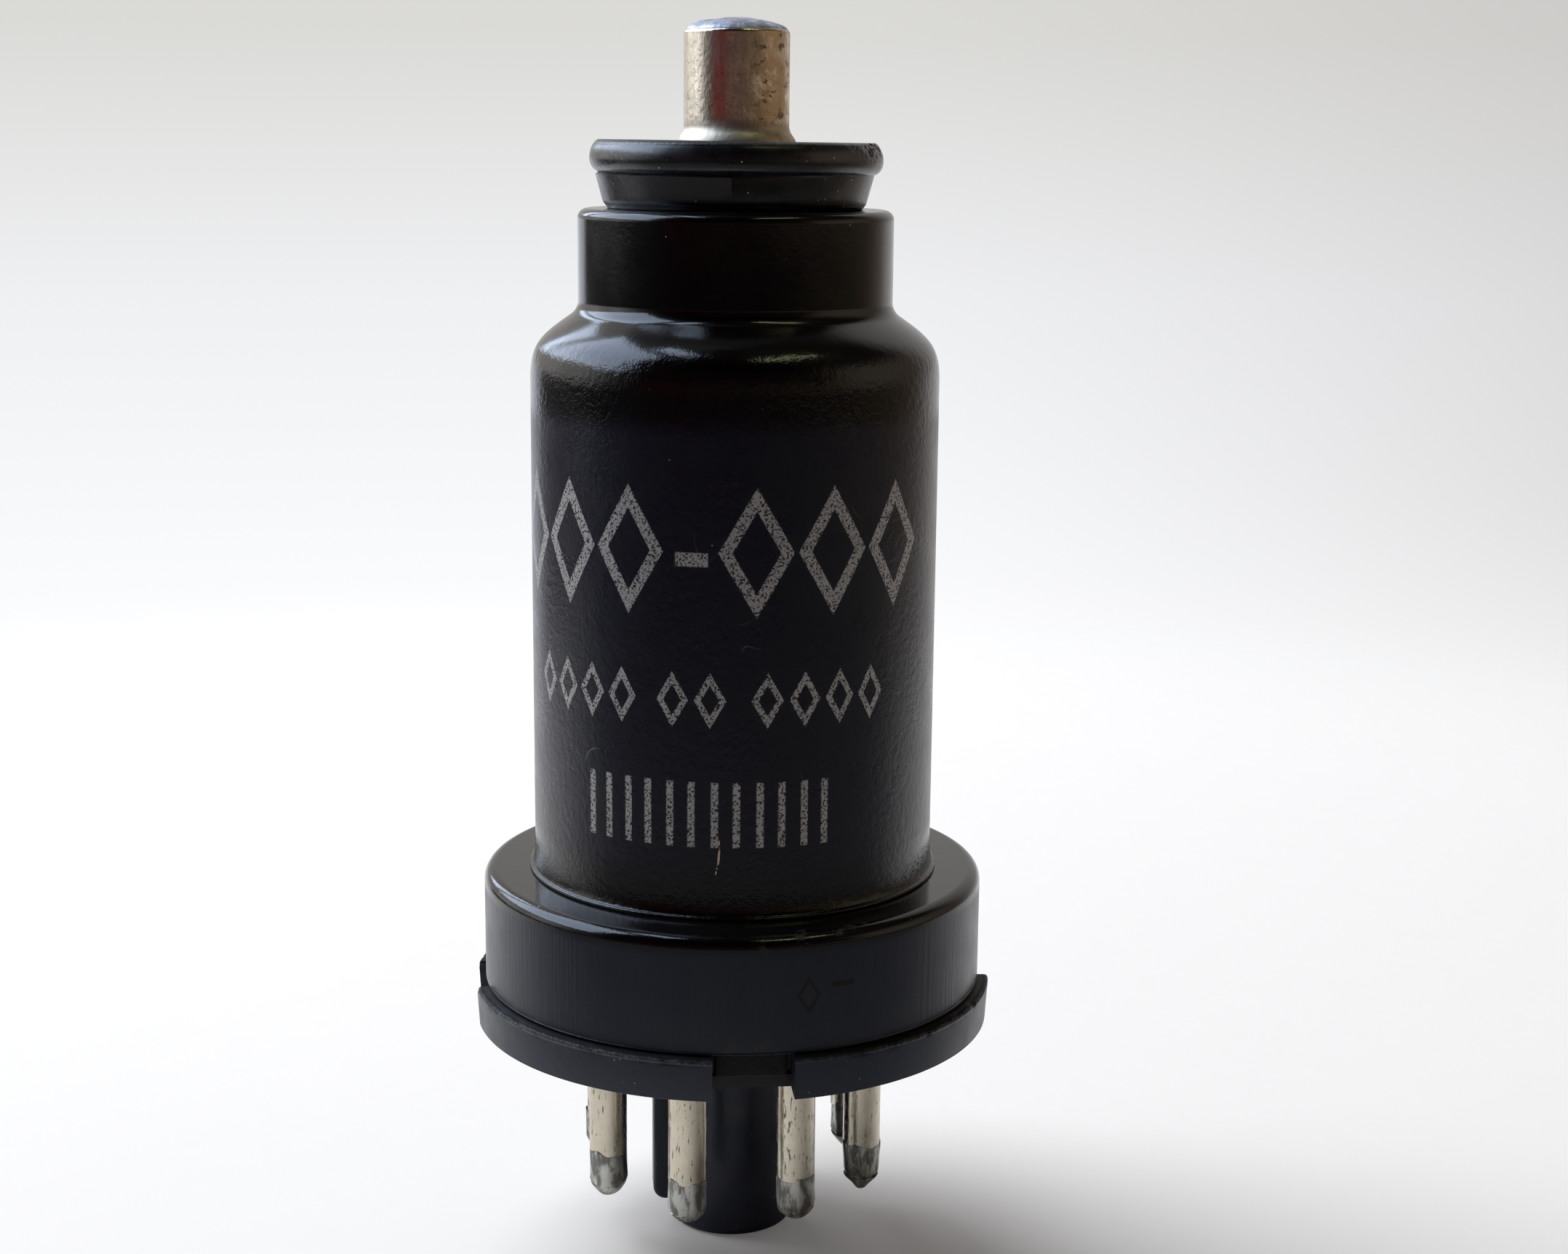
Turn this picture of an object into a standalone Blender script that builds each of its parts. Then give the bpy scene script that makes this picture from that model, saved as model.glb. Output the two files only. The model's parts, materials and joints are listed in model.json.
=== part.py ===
"""Metal-shell octal vacuum tube with a grid cap on top. Metres, +Z up.

The origin is the centre of the aligning plug's flat end, on which the tube stands.
The aligning key points to -X, and every height is built up from that end.
"""
import math

import bmesh
import bpy
from mathutils import Matrix

# Fits between pieces
SEAM = 0.0001
CLEARANCE = 0.0003

# Moulded base wafer: aligning plug, key and flange
PLUG_RADIUS = 0.0039
PLUG_LENGTH = 0.0142
PLUG_WALL = 0.0010
PLUG_EDGE_RADIUS = 0.0005
KEY_REACH = 0.0051
KEY_WIDTH = 0.0020
KEY_SETBACK = 0.0014
KEY_CORNER_RADIUS = 0.0008
FLANGE_LIP = 0.0007
FLANGE_HEIGHT = 0.0025
FLANGE_EDGE_RADIUS = 0.0002
WAFER_HEIGHT = 0.0053
NOTCH_WIDTH = 0.0048
NOTCH_LEDGE = 0.00035
NOTCH_COUNT = 4

# Contact pins
PIN_COUNT = 8
PIN_CIRCLE_RADIUS = 0.00873
PIN_RADIUS = 0.00118
PIN_WALL = 0.0003
PIN_LENGTH = 0.0110
PIN_TIP_STEP = 0.00025
PIN_HEAD_RADIUS = 0.0016
PIN_HEAD_HEIGHT = 0.0003
SOLDER_HEIGHT = 0.0024
SOLDER_BULGE = 0.00005
SOLDER_END = 0.0006

# Drawn steel header, which is also the collar round the base
COLLAR_RADIUS = 0.01565
COLLAR_HEIGHT = 0.00715
COLLAR_CORNER_RADIUS = 0.0010
HEADER_WALL = 0.00075
HEADER_BEND_RADIUS = 0.0003
CRIMP_DEPTH = 0.0012
CRIMP_REACH = 0.00175

# Lead seals and the exhaust tube
SHELL_PIN = 1
LEAD_RADIUS = 0.0004
EYELET_RADIUS = 0.0018
EYELET_WALL = 0.0003
EYELET_DROP = 0.0010
EYELET_LIP = 0.0005
BEAD_DROP = 0.0004
BEAD_MENISCUS = 0.0004
EXHAUST_RADIUS = 0.0017
EXHAUST_WALL = 0.0004
PINCH_LENGTH = 0.0020
PINCH_LIFT = 0.0020

# Sealed steel shell
SHELL_RADIUS = 0.01245
BODY_HEIGHT = 0.0304
FOOT_FLARE = 0.00035
FOOT_FLARE_HEIGHT = 0.0011
FOOT_LIP = 0.00025
SHOULDER_HEIGHT = 0.00384
SHOULDER_SLOPE = math.radians(35)
SHOULDER_FULLNESS = 0.47
NECK_RADIUS = 0.00953
NECK_FILLET_RADIUS = 0.00085
NECK_HEIGHT = 0.00566
NECK_EDGE_RADIUS = 0.0006
NECK_WALL = 0.00065
LIP_WIDTH = 0.0018
LIP_THICKNESS = 0.0008
POCKET_DEPTH = 0.0027
RECESS_DEPTH = 0.0024

# Seal in the top of the shell
TOP_EYELET_RADIUS = 0.0032
TOP_EYELET_STAND = 0.0009
TOP_EYELET_LIP = 0.0009

# Moulded cap insulator
INSULATOR_RADIUS = 0.00875
INSULATOR_HEIGHT = 0.0040
INSULATOR_BEAD_HEIGHT = 0.0017
INSULATOR_BEAD_CORNER = 0.0006
INSULATOR_GROOVE_DEPTH = 0.0004
INSULATOR_GROOVE_HALF_WIDTH = 0.0002
INSULATOR_FOOT_HEIGHT = 0.0015
INSULATOR_FILLET_WIDTH = 0.0003
INSULATOR_FILLET_HEIGHT = 0.0006

# Drawn grid cap and the solder that closes it
CAP_RADIUS = 0.00316
CAP_HEIGHT = 0.0062
CAP_WALL = 0.0003
CAP_CORNER_RADIUS = 0.0003
CAP_FLARE = 0.0004
CAP_FLARE_HEIGHT = 0.0014
CAP_FLARE_TURN = math.radians(56)
CAP_HOLE_RADIUS = 0.0008
CAP_SOLDER_EDGE = 0.00012
CAP_SOLDER_RISE = 0.0008
CAP_SOLDER_PLUG = 0.0004

# Facets
MERGE_DISTANCE = 0.000001
OVERCUT = 0.001
SHELL_SEGMENTS = 48
COLLAR_SEGMENTS = 56
INSULATOR_SEGMENTS = 36
CAP_SEGMENTS = 28
EXHAUST_SEGMENTS = 16
TOP_SEAL_SEGMENTS = 16
PIN_SEGMENTS = 12
SEAL_SEGMENTS = 10
LEAD_SEGMENTS = 8
EDGE_STEPS = 2
CORNER_STEPS = 3
SOLDER_STEPS = 4
WIDE_CORNER_STEPS = 5
DOME_STEPS = 6
SHOULDER_STEPS = 7
SHARP_ANGLE = math.radians(38)

# Finishes: name, colour, roughness and metallic value
BLACK_ENAMEL = ("black_enamel", (0.012, 0.012, 0.014), 0.35, 0.0)
BLACK_PHENOLIC = ("black_phenolic", (0.014, 0.013, 0.013), 0.45, 0.0)
CAP_NICKEL = ("cap_nickel", (0.62, 0.56, 0.47), 0.28, 1.0)
PIN_PLATING = ("pin_plating", (0.58, 0.55, 0.50), 0.30, 1.0)
SOLDER = ("solder", (0.42, 0.42, 0.42), 0.50, 1.0)
NICKEL_WIRE = ("nickel_wire", (0.60, 0.58, 0.54), 0.35, 1.0)
SEALING_ALLOY = ("sealing_alloy", (0.45, 0.44, 0.42), 0.45, 1.0)
BEAD_GLASS = ("bead_glass", (0.10, 0.16, 0.30), 0.10, 0.0)
EXHAUST_METAL = ("exhaust_metal", (0.50, 0.47, 0.43), 0.40, 1.0)

# Levels, each one resting on the one below
SEAT_Z = PLUG_LENGTH
FLANGE_TOP_Z = SEAT_Z + FLANGE_HEIGHT
WAFER_TOP_Z = SEAT_Z + WAFER_HEIGHT
SKIRT_BOTTOM_Z = FLANGE_TOP_Z + SEAM
TAB_BOTTOM_Z = SKIRT_BOTTOM_Z - CRIMP_REACH
HEADER_TOP_Z = SKIRT_BOTTOM_Z + COLLAR_HEIGHT
HEADER_UNDER_Z = HEADER_TOP_Z - HEADER_WALL
SHELL_BOTTOM_Z = HEADER_TOP_Z + SEAM
SHOULDER_Z = SHELL_BOTTOM_Z + BODY_HEIGHT
NECK_CONTACT_Z = SHOULDER_Z + SHOULDER_HEIGHT
NECK_BASE_Z = NECK_CONTACT_Z + NECK_FILLET_RADIUS * math.cos(SHOULDER_SLOPE)
SHELL_TOP_Z = NECK_BASE_Z + NECK_HEIGHT
POCKET_FLOOR_Z = SHELL_TOP_Z - POCKET_DEPTH
RECESS_FLOOR_Z = POCKET_FLOOR_Z - RECESS_DEPTH
INSULATOR_TOP_Z = SHELL_TOP_Z + INSULATOR_HEIGHT
CAP_BOTTOM_Z = INSULATOR_TOP_Z + SEAM
CAP_TOP_Z = CAP_BOTTOM_Z + CAP_HEIGHT
PIN_END_Z = SEAT_Z - PIN_LENGTH
PIN_TIP_Z = PIN_END_Z + SOLDER_END + SEAM
SOLDER_TOP_Z = PIN_END_Z + SOLDER_HEIGHT

# Radii that follow from the sizes above
WAFER_RADIUS = COLLAR_RADIUS - HEADER_WALL - CLEARANCE
FLANGE_RADIUS = COLLAR_RADIUS + FLANGE_LIP
TAB_OUTER_RADIUS = COLLAR_RADIUS - CRIMP_DEPTH
TAB_INNER_RADIUS = TAB_OUTER_RADIUS - HEADER_WALL
NOTCH_FLOOR_RADIUS = TAB_INNER_RADIUS - SEAM
PIN_BORE_RADIUS = PIN_RADIUS - PIN_WALL
PIN_TIP_RADIUS = PIN_RADIUS - PIN_TIP_STEP
SEAL_HOLE_RADIUS = EYELET_RADIUS + SEAM
EXHAUST_HOLE_RADIUS = EXHAUST_RADIUS + SEAM
POCKET_RADIUS = NECK_RADIUS - NECK_WALL
LIP_RADIUS = NECK_RADIUS - LIP_WIDTH
INSULATOR_WAIST_RADIUS = LIP_RADIUS - SEAM
RECESS_RADIUS = TOP_EYELET_RADIUS + SEAM

QUARTER = math.pi / 2
FULL_TURN = 2 * math.pi


def arc(centre_r, centre_z, radius_r, start, end, steps, radius_z=None):
    """Points on an arc or elliptic arc of a half-section, both ends included."""
    radius_z = radius_r if radius_z is None else radius_z
    points = []
    for step in range(steps + 1):
        angle = start + (end - start) * step / steps
        points.append((centre_r + radius_r * math.cos(angle), centre_z + radius_z * math.sin(angle)))
    return points


def bezier(start, start_handle, end_handle, end, steps):
    """Points on a cubic curve of a half-section, both ends included."""
    points = []
    for step in range(steps + 1):
        t = step / steps
        weights = ((1 - t) ** 3, 3 * t * (1 - t) ** 2, 3 * t ** 2 * (1 - t), t ** 3)
        corners = (start, start_handle, end_handle, end)
        points.append(tuple(sum(w * c[axis] for w, c in zip(weights, corners)) for axis in (0, 1)))
    return points


def finish(name, colour, roughness, metallic):
    """A Principled material of one colour."""
    material = bpy.data.materials.new(name)
    material.use_nodes = True
    shader = material.node_tree.nodes["Principled BSDF"]
    shader.inputs["Base Color"].default_value = (*colour, 1.0)
    shader.inputs["Roughness"].default_value = roughness
    shader.inputs["Metallic"].default_value = metallic
    return material


def mesh_from(bm, name, material):
    """Turns a bmesh into a smooth-shaded mesh with sharp creases kept."""
    bmesh.ops.remove_doubles(bm, verts=bm.verts, dist=MERGE_DISTANCE)
    bmesh.ops.recalc_face_normals(bm, faces=bm.faces)
    mesh = bpy.data.meshes.new(name)
    bm.to_mesh(mesh)
    bm.free()
    mesh.materials.append(material)
    mesh.shade_smooth()
    mesh.set_sharp_from_angle(angle=SHARP_ANGLE)
    return mesh


def turned(name, profile, segments, material):
    """A solid of revolution. A half-section off the axis is closed into a ring."""
    bm = bmesh.new()
    verts = [bm.verts.new((radius, 0.0, height)) for radius, height in profile]
    pairs = list(zip(verts, verts[1:]))
    if profile[0][0] > 0:
        pairs.append((verts[-1], verts[0]))
    edges = [bm.edges.new(pair) for pair in pairs]
    bmesh.ops.spin(
        bm,
        geom=verts + edges,
        axis=(0, 0, 1),
        cent=(0, 0, 0),
        angle=FULL_TURN,
        steps=segments,
        use_merge=True,
    )
    return mesh_from(bm, name, material)


def prisms(name, outline, width, count, material):
    """Upright plates of an (x, z) outline and a width along Y, spread evenly about Z."""
    bm = bmesh.new()
    for index in range(count):
        verts = [bm.verts.new((x, -width / 2, z)) for x, z in outline]
        side = bm.faces.new(verts)
        grown = bmesh.ops.extrude_face_region(bm, geom=[side])["geom"]
        moved = [item for item in grown if isinstance(item, bmesh.types.BMVert)]
        bmesh.ops.translate(bm, verts=moved, vec=(0, width, 0))
        turn = Matrix.Rotation(FULL_TURN * index / count, 3, "Z")
        bmesh.ops.rotate(bm, verts=verts + moved, cent=(0, 0, 0), matrix=turn)
    return mesh_from(bm, name, material)


def drills(name, places, radius, bottom, top, material):
    """Upright cylinders for cutting holes at the given places."""
    bm = bmesh.new()
    for x, y in places:
        drilled = bmesh.ops.create_cone(
            bm,
            cap_ends=True,
            segments=PIN_SEGMENTS,
            radius1=radius,
            radius2=radius,
            depth=top - bottom,
        )
        bmesh.ops.translate(bm, verts=drilled["verts"], vec=(x, y, (bottom + top) / 2))
    return mesh_from(bm, name, material)


def place(name, mesh, parent, position=(0, 0)):
    """Puts a mesh in the scene as one named piece of the tube."""
    piece = bpy.data.objects.new(name, mesh)
    bpy.context.scene.collection.objects.link(piece)
    piece.parent = parent
    piece.location = (*position, 0.0)
    return piece


def shape_with(piece, mesh, operation):
    """Cuts a tool out of a piece, or unites the tool with it."""
    tool = place(mesh.name, mesh, piece.parent)
    tool.hide_render = True
    tool.display_type = "WIRE"
    modifier = piece.modifiers.new(mesh.name, "BOOLEAN")
    modifier.operation = operation
    modifier.solver = "EXACT"
    modifier.object = tool


def pin_numbers():
    """All pins, counted from 1."""
    return range(1, PIN_COUNT + 1)


def sealed_pins():
    """The pins whose leads pass through a seal, which is all but the shell's own."""
    return [number for number in pin_numbers() if number != SHELL_PIN]


def pin_place(number):
    """Centre of a pin. Pins count clockwise from the key as seen from below."""
    pitch = FULL_TURN / PIN_COUNT
    angle = math.pi + pitch / 2 + (number - 1) * pitch
    return PIN_CIRCLE_RADIUS * math.cos(angle), PIN_CIRCLE_RADIUS * math.sin(angle)


def wafer_profile():
    """Hollow plug with a closed end, flange and the disc inside the collar."""
    bore_radius = PLUG_RADIUS - PLUG_WALL
    edge = FLANGE_EDGE_RADIUS
    plug_edge = PLUG_EDGE_RADIUS
    profile = [(0, PLUG_WALL), (bore_radius, PLUG_WALL), (bore_radius, WAFER_TOP_Z)]
    profile += [(WAFER_RADIUS, WAFER_TOP_Z), (WAFER_RADIUS, FLANGE_TOP_Z)]
    profile += arc(FLANGE_RADIUS - edge, FLANGE_TOP_Z - edge, edge, QUARTER, 0, EDGE_STEPS)
    profile += arc(FLANGE_RADIUS - edge, SEAT_Z + edge, edge, 0, -QUARTER, EDGE_STEPS)
    profile += [(PLUG_RADIUS, SEAT_Z)]
    profile += arc(PLUG_RADIUS - plug_edge, plug_edge, plug_edge, 0, -QUARTER, CORNER_STEPS)
    profile += [(0, 0)]
    return profile


def key_outline():
    """Side view of the key, rooted in the middle of the plug's wall and of the flange."""
    root = -(PLUG_RADIUS - PLUG_WALL / 2)
    corner = KEY_CORNER_RADIUS
    top = SEAT_Z + FLANGE_HEIGHT / 2
    outline = [(root, KEY_SETBACK)]
    outline += arc(corner - KEY_REACH, KEY_SETBACK + corner, corner, -QUARTER, -math.pi, CORNER_STEPS)
    outline += [(-KEY_REACH, top), (root, top)]
    return outline


def notch_outline():
    """Section of a notch: a slot down the rim, with a ledge under the crimped tab."""
    bottom = SEAT_Z - OVERCUT
    top = WAFER_TOP_Z + OVERCUT
    outer = FLANGE_RADIUS + OVERCUT
    ledge_radius = NOTCH_FLOOR_RADIUS + NOTCH_LEDGE
    ledge_z = TAB_BOTTOM_Z - SEAM
    return [
        (ledge_radius, bottom),
        (outer, bottom),
        (outer, top),
        (NOTCH_FLOOR_RADIUS, top),
        (NOTCH_FLOOR_RADIUS, ledge_z),
        (ledge_radius, ledge_z),
    ]


def build_wafer(parent, phenolic):
    """One moulding: flange with crimp notches and pin holes, keyed hollow plug."""
    wafer = place("wafer_base", turned("wafer_base", wafer_profile(), COLLAR_SEGMENTS, phenolic), parent)
    key = prisms("key_form", key_outline(), KEY_WIDTH, 1, phenolic)
    shape_with(wafer, key, "UNION")
    notches = prisms("notch_tool", notch_outline(), NOTCH_WIDTH, NOTCH_COUNT, phenolic)
    shape_with(wafer, notches, "DIFFERENCE")
    places = [pin_place(number) for number in pin_numbers()]
    bottom = SEAT_Z - OVERCUT
    top = WAFER_TOP_Z + OVERCUT
    holes = drills("pin_hole_tool", places, PIN_RADIUS + SEAM, bottom, top, phenolic)
    shape_with(wafer, holes, "DIFFERENCE")


def header_profile():
    """Cup drawn from sheet: plate with an exhaust hole, rounded corner, skirt."""
    corner = COLLAR_CORNER_RADIUS
    bend = HEADER_BEND_RADIUS
    inner_radius = COLLAR_RADIUS - HEADER_WALL
    profile = [(EXHAUST_HOLE_RADIUS, HEADER_UNDER_Z), (EXHAUST_HOLE_RADIUS, HEADER_TOP_Z)]
    profile += arc(COLLAR_RADIUS - corner, HEADER_TOP_Z - corner, corner, QUARTER, 0, WIDE_CORNER_STEPS)
    profile += [(COLLAR_RADIUS, SKIRT_BOTTOM_Z), (inner_radius, SKIRT_BOTTOM_Z)]
    profile += arc(inner_radius - bend, HEADER_UNDER_Z - bend, bend, 0, QUARTER, EDGE_STEPS)
    return profile


def crimp_outline():
    """Section of one crimped tab: a step in from the skirt, then down over the ledge."""
    step_z = SKIRT_BOTTOM_Z + SEAM
    root = COLLAR_RADIUS - HEADER_WALL / 2
    return [
        (TAB_INNER_RADIUS, TAB_BOTTOM_Z),
        (TAB_OUTER_RADIUS, TAB_BOTTOM_Z),
        (TAB_OUTER_RADIUS, step_z),
        (root, step_z),
        (root, step_z + HEADER_WALL),
        (TAB_INNER_RADIUS, step_z + HEADER_WALL),
    ]


def build_header(parent, enamel):
    """Header plate and collar in one drawing, locked to the wafer by four crimps."""
    cup = turned("header_collar", header_profile(), COLLAR_SEGMENTS, enamel)
    header = place("header_collar", cup, parent)
    tab_width = NOTCH_WIDTH - 2 * CLEARANCE
    shape_with(header, prisms("crimp_form", crimp_outline(), tab_width, NOTCH_COUNT, enamel), "UNION")
    places = [pin_place(number) for number in sealed_pins()]
    bottom = HEADER_UNDER_Z - OVERCUT
    top = HEADER_TOP_Z + OVERCUT
    holes = drills("seal_hole_tool", places, SEAL_HOLE_RADIUS, bottom, top, enamel)
    shape_with(header, holes, "DIFFERENCE")


def pin_profile():
    """Hollow pin: staked head over the wafer, plain shank, stepped tip."""
    head_z = WAFER_TOP_Z + SEAM
    top_z = head_z + PIN_HEAD_HEIGHT
    step_z = SOLDER_TOP_Z + SEAM
    tip_bore = LEAD_RADIUS + SEAM
    profile = [(PIN_BORE_RADIUS, top_z), (PIN_HEAD_RADIUS, top_z), (PIN_HEAD_RADIUS, head_z)]
    profile += [(PIN_RADIUS, head_z), (PIN_RADIUS, step_z + PIN_TIP_STEP), (PIN_TIP_RADIUS, step_z)]
    profile += [(PIN_TIP_RADIUS, PIN_TIP_Z), (tip_bore, PIN_TIP_Z)]
    profile += [(tip_bore, step_z), (PIN_BORE_RADIUS, step_z + PIN_BORE_RADIUS - tip_bore)]
    return profile


def solder_profile():
    """Solder dipped over a pin's tip: a thin cup that closes the bore."""
    inner = PIN_TIP_RADIUS + SEAM
    outer = PIN_RADIUS + SOLDER_BULGE
    half_height = SOLDER_HEIGHT / 2
    widest_z = PIN_END_Z + half_height
    profile = [(0, PIN_END_Z + SOLDER_END), (inner, PIN_END_Z + SOLDER_END), (inner, SOLDER_TOP_Z)]
    profile += [(PIN_RADIUS, SOLDER_TOP_Z)]
    profile += arc(0, widest_z, outer, 0, -QUARTER, SOLDER_STEPS, radius_z=half_height)[:-1]
    profile += [(0, PIN_END_Z)]
    return profile


def build_pins(parent, solder):
    """Eight hollow pins on the pin circle, each with its soldered tip."""
    pin = turned("pin", pin_profile(), PIN_SEGMENTS, finish(*PIN_PLATING))
    tip = turned("pin_solder", solder_profile(), PIN_SEGMENTS, solder)
    for number in pin_numbers():
        place(f"pin_{number}", pin, parent, pin_place(number))
        place(f"pin_solder_{number}", tip, parent, pin_place(number))


def rod_profile(radius, bottom, top):
    """A plain round wire."""
    return [(0, bottom), (radius, bottom), (radius, top), (0, top)]


def eyelet_profile(radius, bottom, lip_bottom, lip_reach, top):
    """A short tube with a lip that its brazing sits on."""
    lip_top = lip_bottom + EYELET_WALL
    return [
        (radius - EYELET_WALL, bottom),
        (radius, bottom),
        (radius, lip_bottom),
        (radius + lip_reach, lip_bottom),
        (radius + lip_reach, lip_top),
        (radius, lip_top),
        (radius, top),
        (radius - EYELET_WALL, top),
    ]


def bead_profile(radius, bottom, top):
    """A glass bead round a wire, drawn up and down it where the glass wets it."""
    bore = LEAD_RADIUS + SEAM
    return [(bore, bottom), (radius, bottom + BEAD_MENISCUS), (radius, top - BEAD_MENISCUS), (bore, top)]


def build_lead_seals(parent, nickel, alloy, glass):
    """A lead for every pin. One is welded to the header, the rest are sealed."""
    lead_top = HEADER_TOP_Z - SEAM
    lead = turned("lead", rod_profile(LEAD_RADIUS, PIN_TIP_Z, lead_top), LEAD_SEGMENTS, nickel)
    weld_z = HEADER_UNDER_Z - SEAM
    strap = turned("shell_lead", rod_profile(LEAD_RADIUS, PIN_TIP_Z, weld_z), LEAD_SEGMENTS, nickel)
    bottom = HEADER_UNDER_Z - EYELET_DROP
    lip_z = HEADER_UNDER_Z - SEAM - EYELET_WALL
    profile = eyelet_profile(EYELET_RADIUS, bottom, lip_z, EYELET_LIP, HEADER_TOP_Z)
    eyelet = turned("eyelet", profile, SEAL_SEGMENTS, alloy)
    bead_radius = EYELET_RADIUS - EYELET_WALL - SEAM
    bead = turned("bead", bead_profile(bead_radius, bottom - BEAD_DROP, lead_top), SEAL_SEGMENTS, glass)
    place("shell_lead", strap, parent, pin_place(SHELL_PIN))
    for number in sealed_pins():
        place(f"lead_wire_{number}", lead, parent, pin_place(number))
        place(f"eyelet_{number}", eyelet, parent, pin_place(number))
        place(f"seal_bead_{number}", bead, parent, pin_place(number))


def pinch_outline(top):
    """Front view of the flattened end: as wide as the tube's wall spreads, tapered above."""
    bottom = PLUG_WALL + PINCH_LIFT
    reach = (EXHAUST_RADIUS - EXHAUST_WALL / 2) * QUARTER
    inner = EXHAUST_RADIUS - EXHAUST_WALL
    return [
        (-reach, bottom),
        (reach, bottom),
        (reach, bottom + PINCH_LENGTH),
        (inner, top),
        (-inner, top),
        (-reach, bottom + PINCH_LENGTH),
    ]


def build_exhaust_tube(parent):
    """Open at the header, necked down and pinched flat inside the plug."""
    inner = EXHAUST_RADIUS - EXHAUST_WALL
    pinch_top = PLUG_WALL + PINCH_LIFT + PINCH_LENGTH
    round_z = pinch_top + EXHAUST_RADIUS
    profile = [(0, pinch_top), (EXHAUST_WALL, pinch_top), (EXHAUST_RADIUS, round_z)]
    profile += [(EXHAUST_RADIUS, HEADER_TOP_Z), (inner, HEADER_TOP_Z)]
    profile += [(inner, round_z + EXHAUST_WALL), (0, round_z)]
    metal = finish(*EXHAUST_METAL)
    tube = place("exhaust_tube", turned("exhaust_tube", profile, EXHAUST_SEGMENTS, metal), parent)
    pinch = prisms("pinch_form", pinch_outline(round_z - EXHAUST_WALL), 2 * EXHAUST_WALL, 1, metal)
    shape_with(tube, pinch, "UNION")


def shoulder_curve(neck_contact_radius):
    """From the upright body, tangent to it, up to the slope that meets the neck's fillet."""
    run = SHELL_RADIUS - neck_contact_radius
    reach = SHOULDER_FULLNESS * math.hypot(run, SHOULDER_HEIGHT)
    slope_r = neck_contact_radius + reach * math.cos(SHOULDER_SLOPE)
    slope_z = NECK_CONTACT_Z - reach * math.sin(SHOULDER_SLOPE)
    return bezier(
        (SHELL_RADIUS, SHOULDER_Z),
        (SHELL_RADIUS, SHOULDER_Z + reach),
        (slope_r, slope_z),
        (neck_contact_radius, NECK_CONTACT_Z),
        SHOULDER_STEPS,
    )


def shell_profile():
    """Flared foot, straight body, shoulder, neck with a rolled lip, seal recess."""
    foot_radius = SHELL_RADIUS + FOOT_FLARE
    foot_top = SHELL_BOTTOM_Z + FOOT_LIP
    flare_top = foot_top + FOOT_FLARE_HEIGHT
    fillet = NECK_FILLET_RADIUS
    edge = NECK_EDGE_RADIUS
    lip_z = SHELL_TOP_Z - LIP_THICKNESS
    profile = [(0, SHELL_BOTTOM_Z), (foot_radius, SHELL_BOTTOM_Z)]
    profile += arc(
        foot_radius, flare_top, FOOT_FLARE, -QUARTER, -math.pi, CORNER_STEPS, radius_z=FOOT_FLARE_HEIGHT
    )
    profile += shoulder_curve(NECK_RADIUS + fillet * (1 - math.sin(SHOULDER_SLOPE)))
    profile += arc(
        NECK_RADIUS + fillet, NECK_BASE_Z, fillet, -QUARTER - SHOULDER_SLOPE, -math.pi, CORNER_STEPS
    )[1:]
    profile += arc(NECK_RADIUS - edge, SHELL_TOP_Z - edge, edge, 0, QUARTER, CORNER_STEPS)
    profile += [(LIP_RADIUS, SHELL_TOP_Z), (LIP_RADIUS, lip_z)]
    profile += [(POCKET_RADIUS, lip_z), (POCKET_RADIUS, POCKET_FLOOR_Z)]
    profile += [(RECESS_RADIUS, POCKET_FLOOR_Z), (RECESS_RADIUS, RECESS_FLOOR_Z), (0, RECESS_FLOOR_Z)]
    return profile


def build_shell(parent, enamel):
    """The vacuum-tight can. It can't be seen into, so it is one solid."""
    place("steel_shell", turned("steel_shell", shell_profile(), SHELL_SEGMENTS, enamel), parent)


def build_top_seal(parent, nickel, alloy, glass):
    """Eyelet and glass bead in the shell's top, with the grid lead through them."""
    bottom = RECESS_FLOOR_Z + SEAM
    lip_z = POCKET_FLOOR_Z + SEAM
    top = POCKET_FLOOR_Z + TOP_EYELET_STAND
    profile = eyelet_profile(TOP_EYELET_RADIUS, bottom, lip_z, TOP_EYELET_LIP, top)
    place("top_eyelet", turned("top_eyelet", profile, TOP_SEAL_SEGMENTS, alloy), parent)
    bead_radius = TOP_EYELET_RADIUS - EYELET_WALL - SEAM
    bead = bead_profile(bead_radius, bottom, lip_z + EYELET_WALL)
    place("top_seal_bead", turned("top_seal_bead", bead, TOP_SEAL_SEGMENTS, glass), parent)
    lead_top = CAP_TOP_Z - CAP_SOLDER_PLUG - SEAM
    lead = rod_profile(LEAD_RADIUS, bottom, lead_top)
    place("grid_lead_wire", turned("grid_lead_wire", lead, LEAD_SEGMENTS, nickel), parent)


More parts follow.
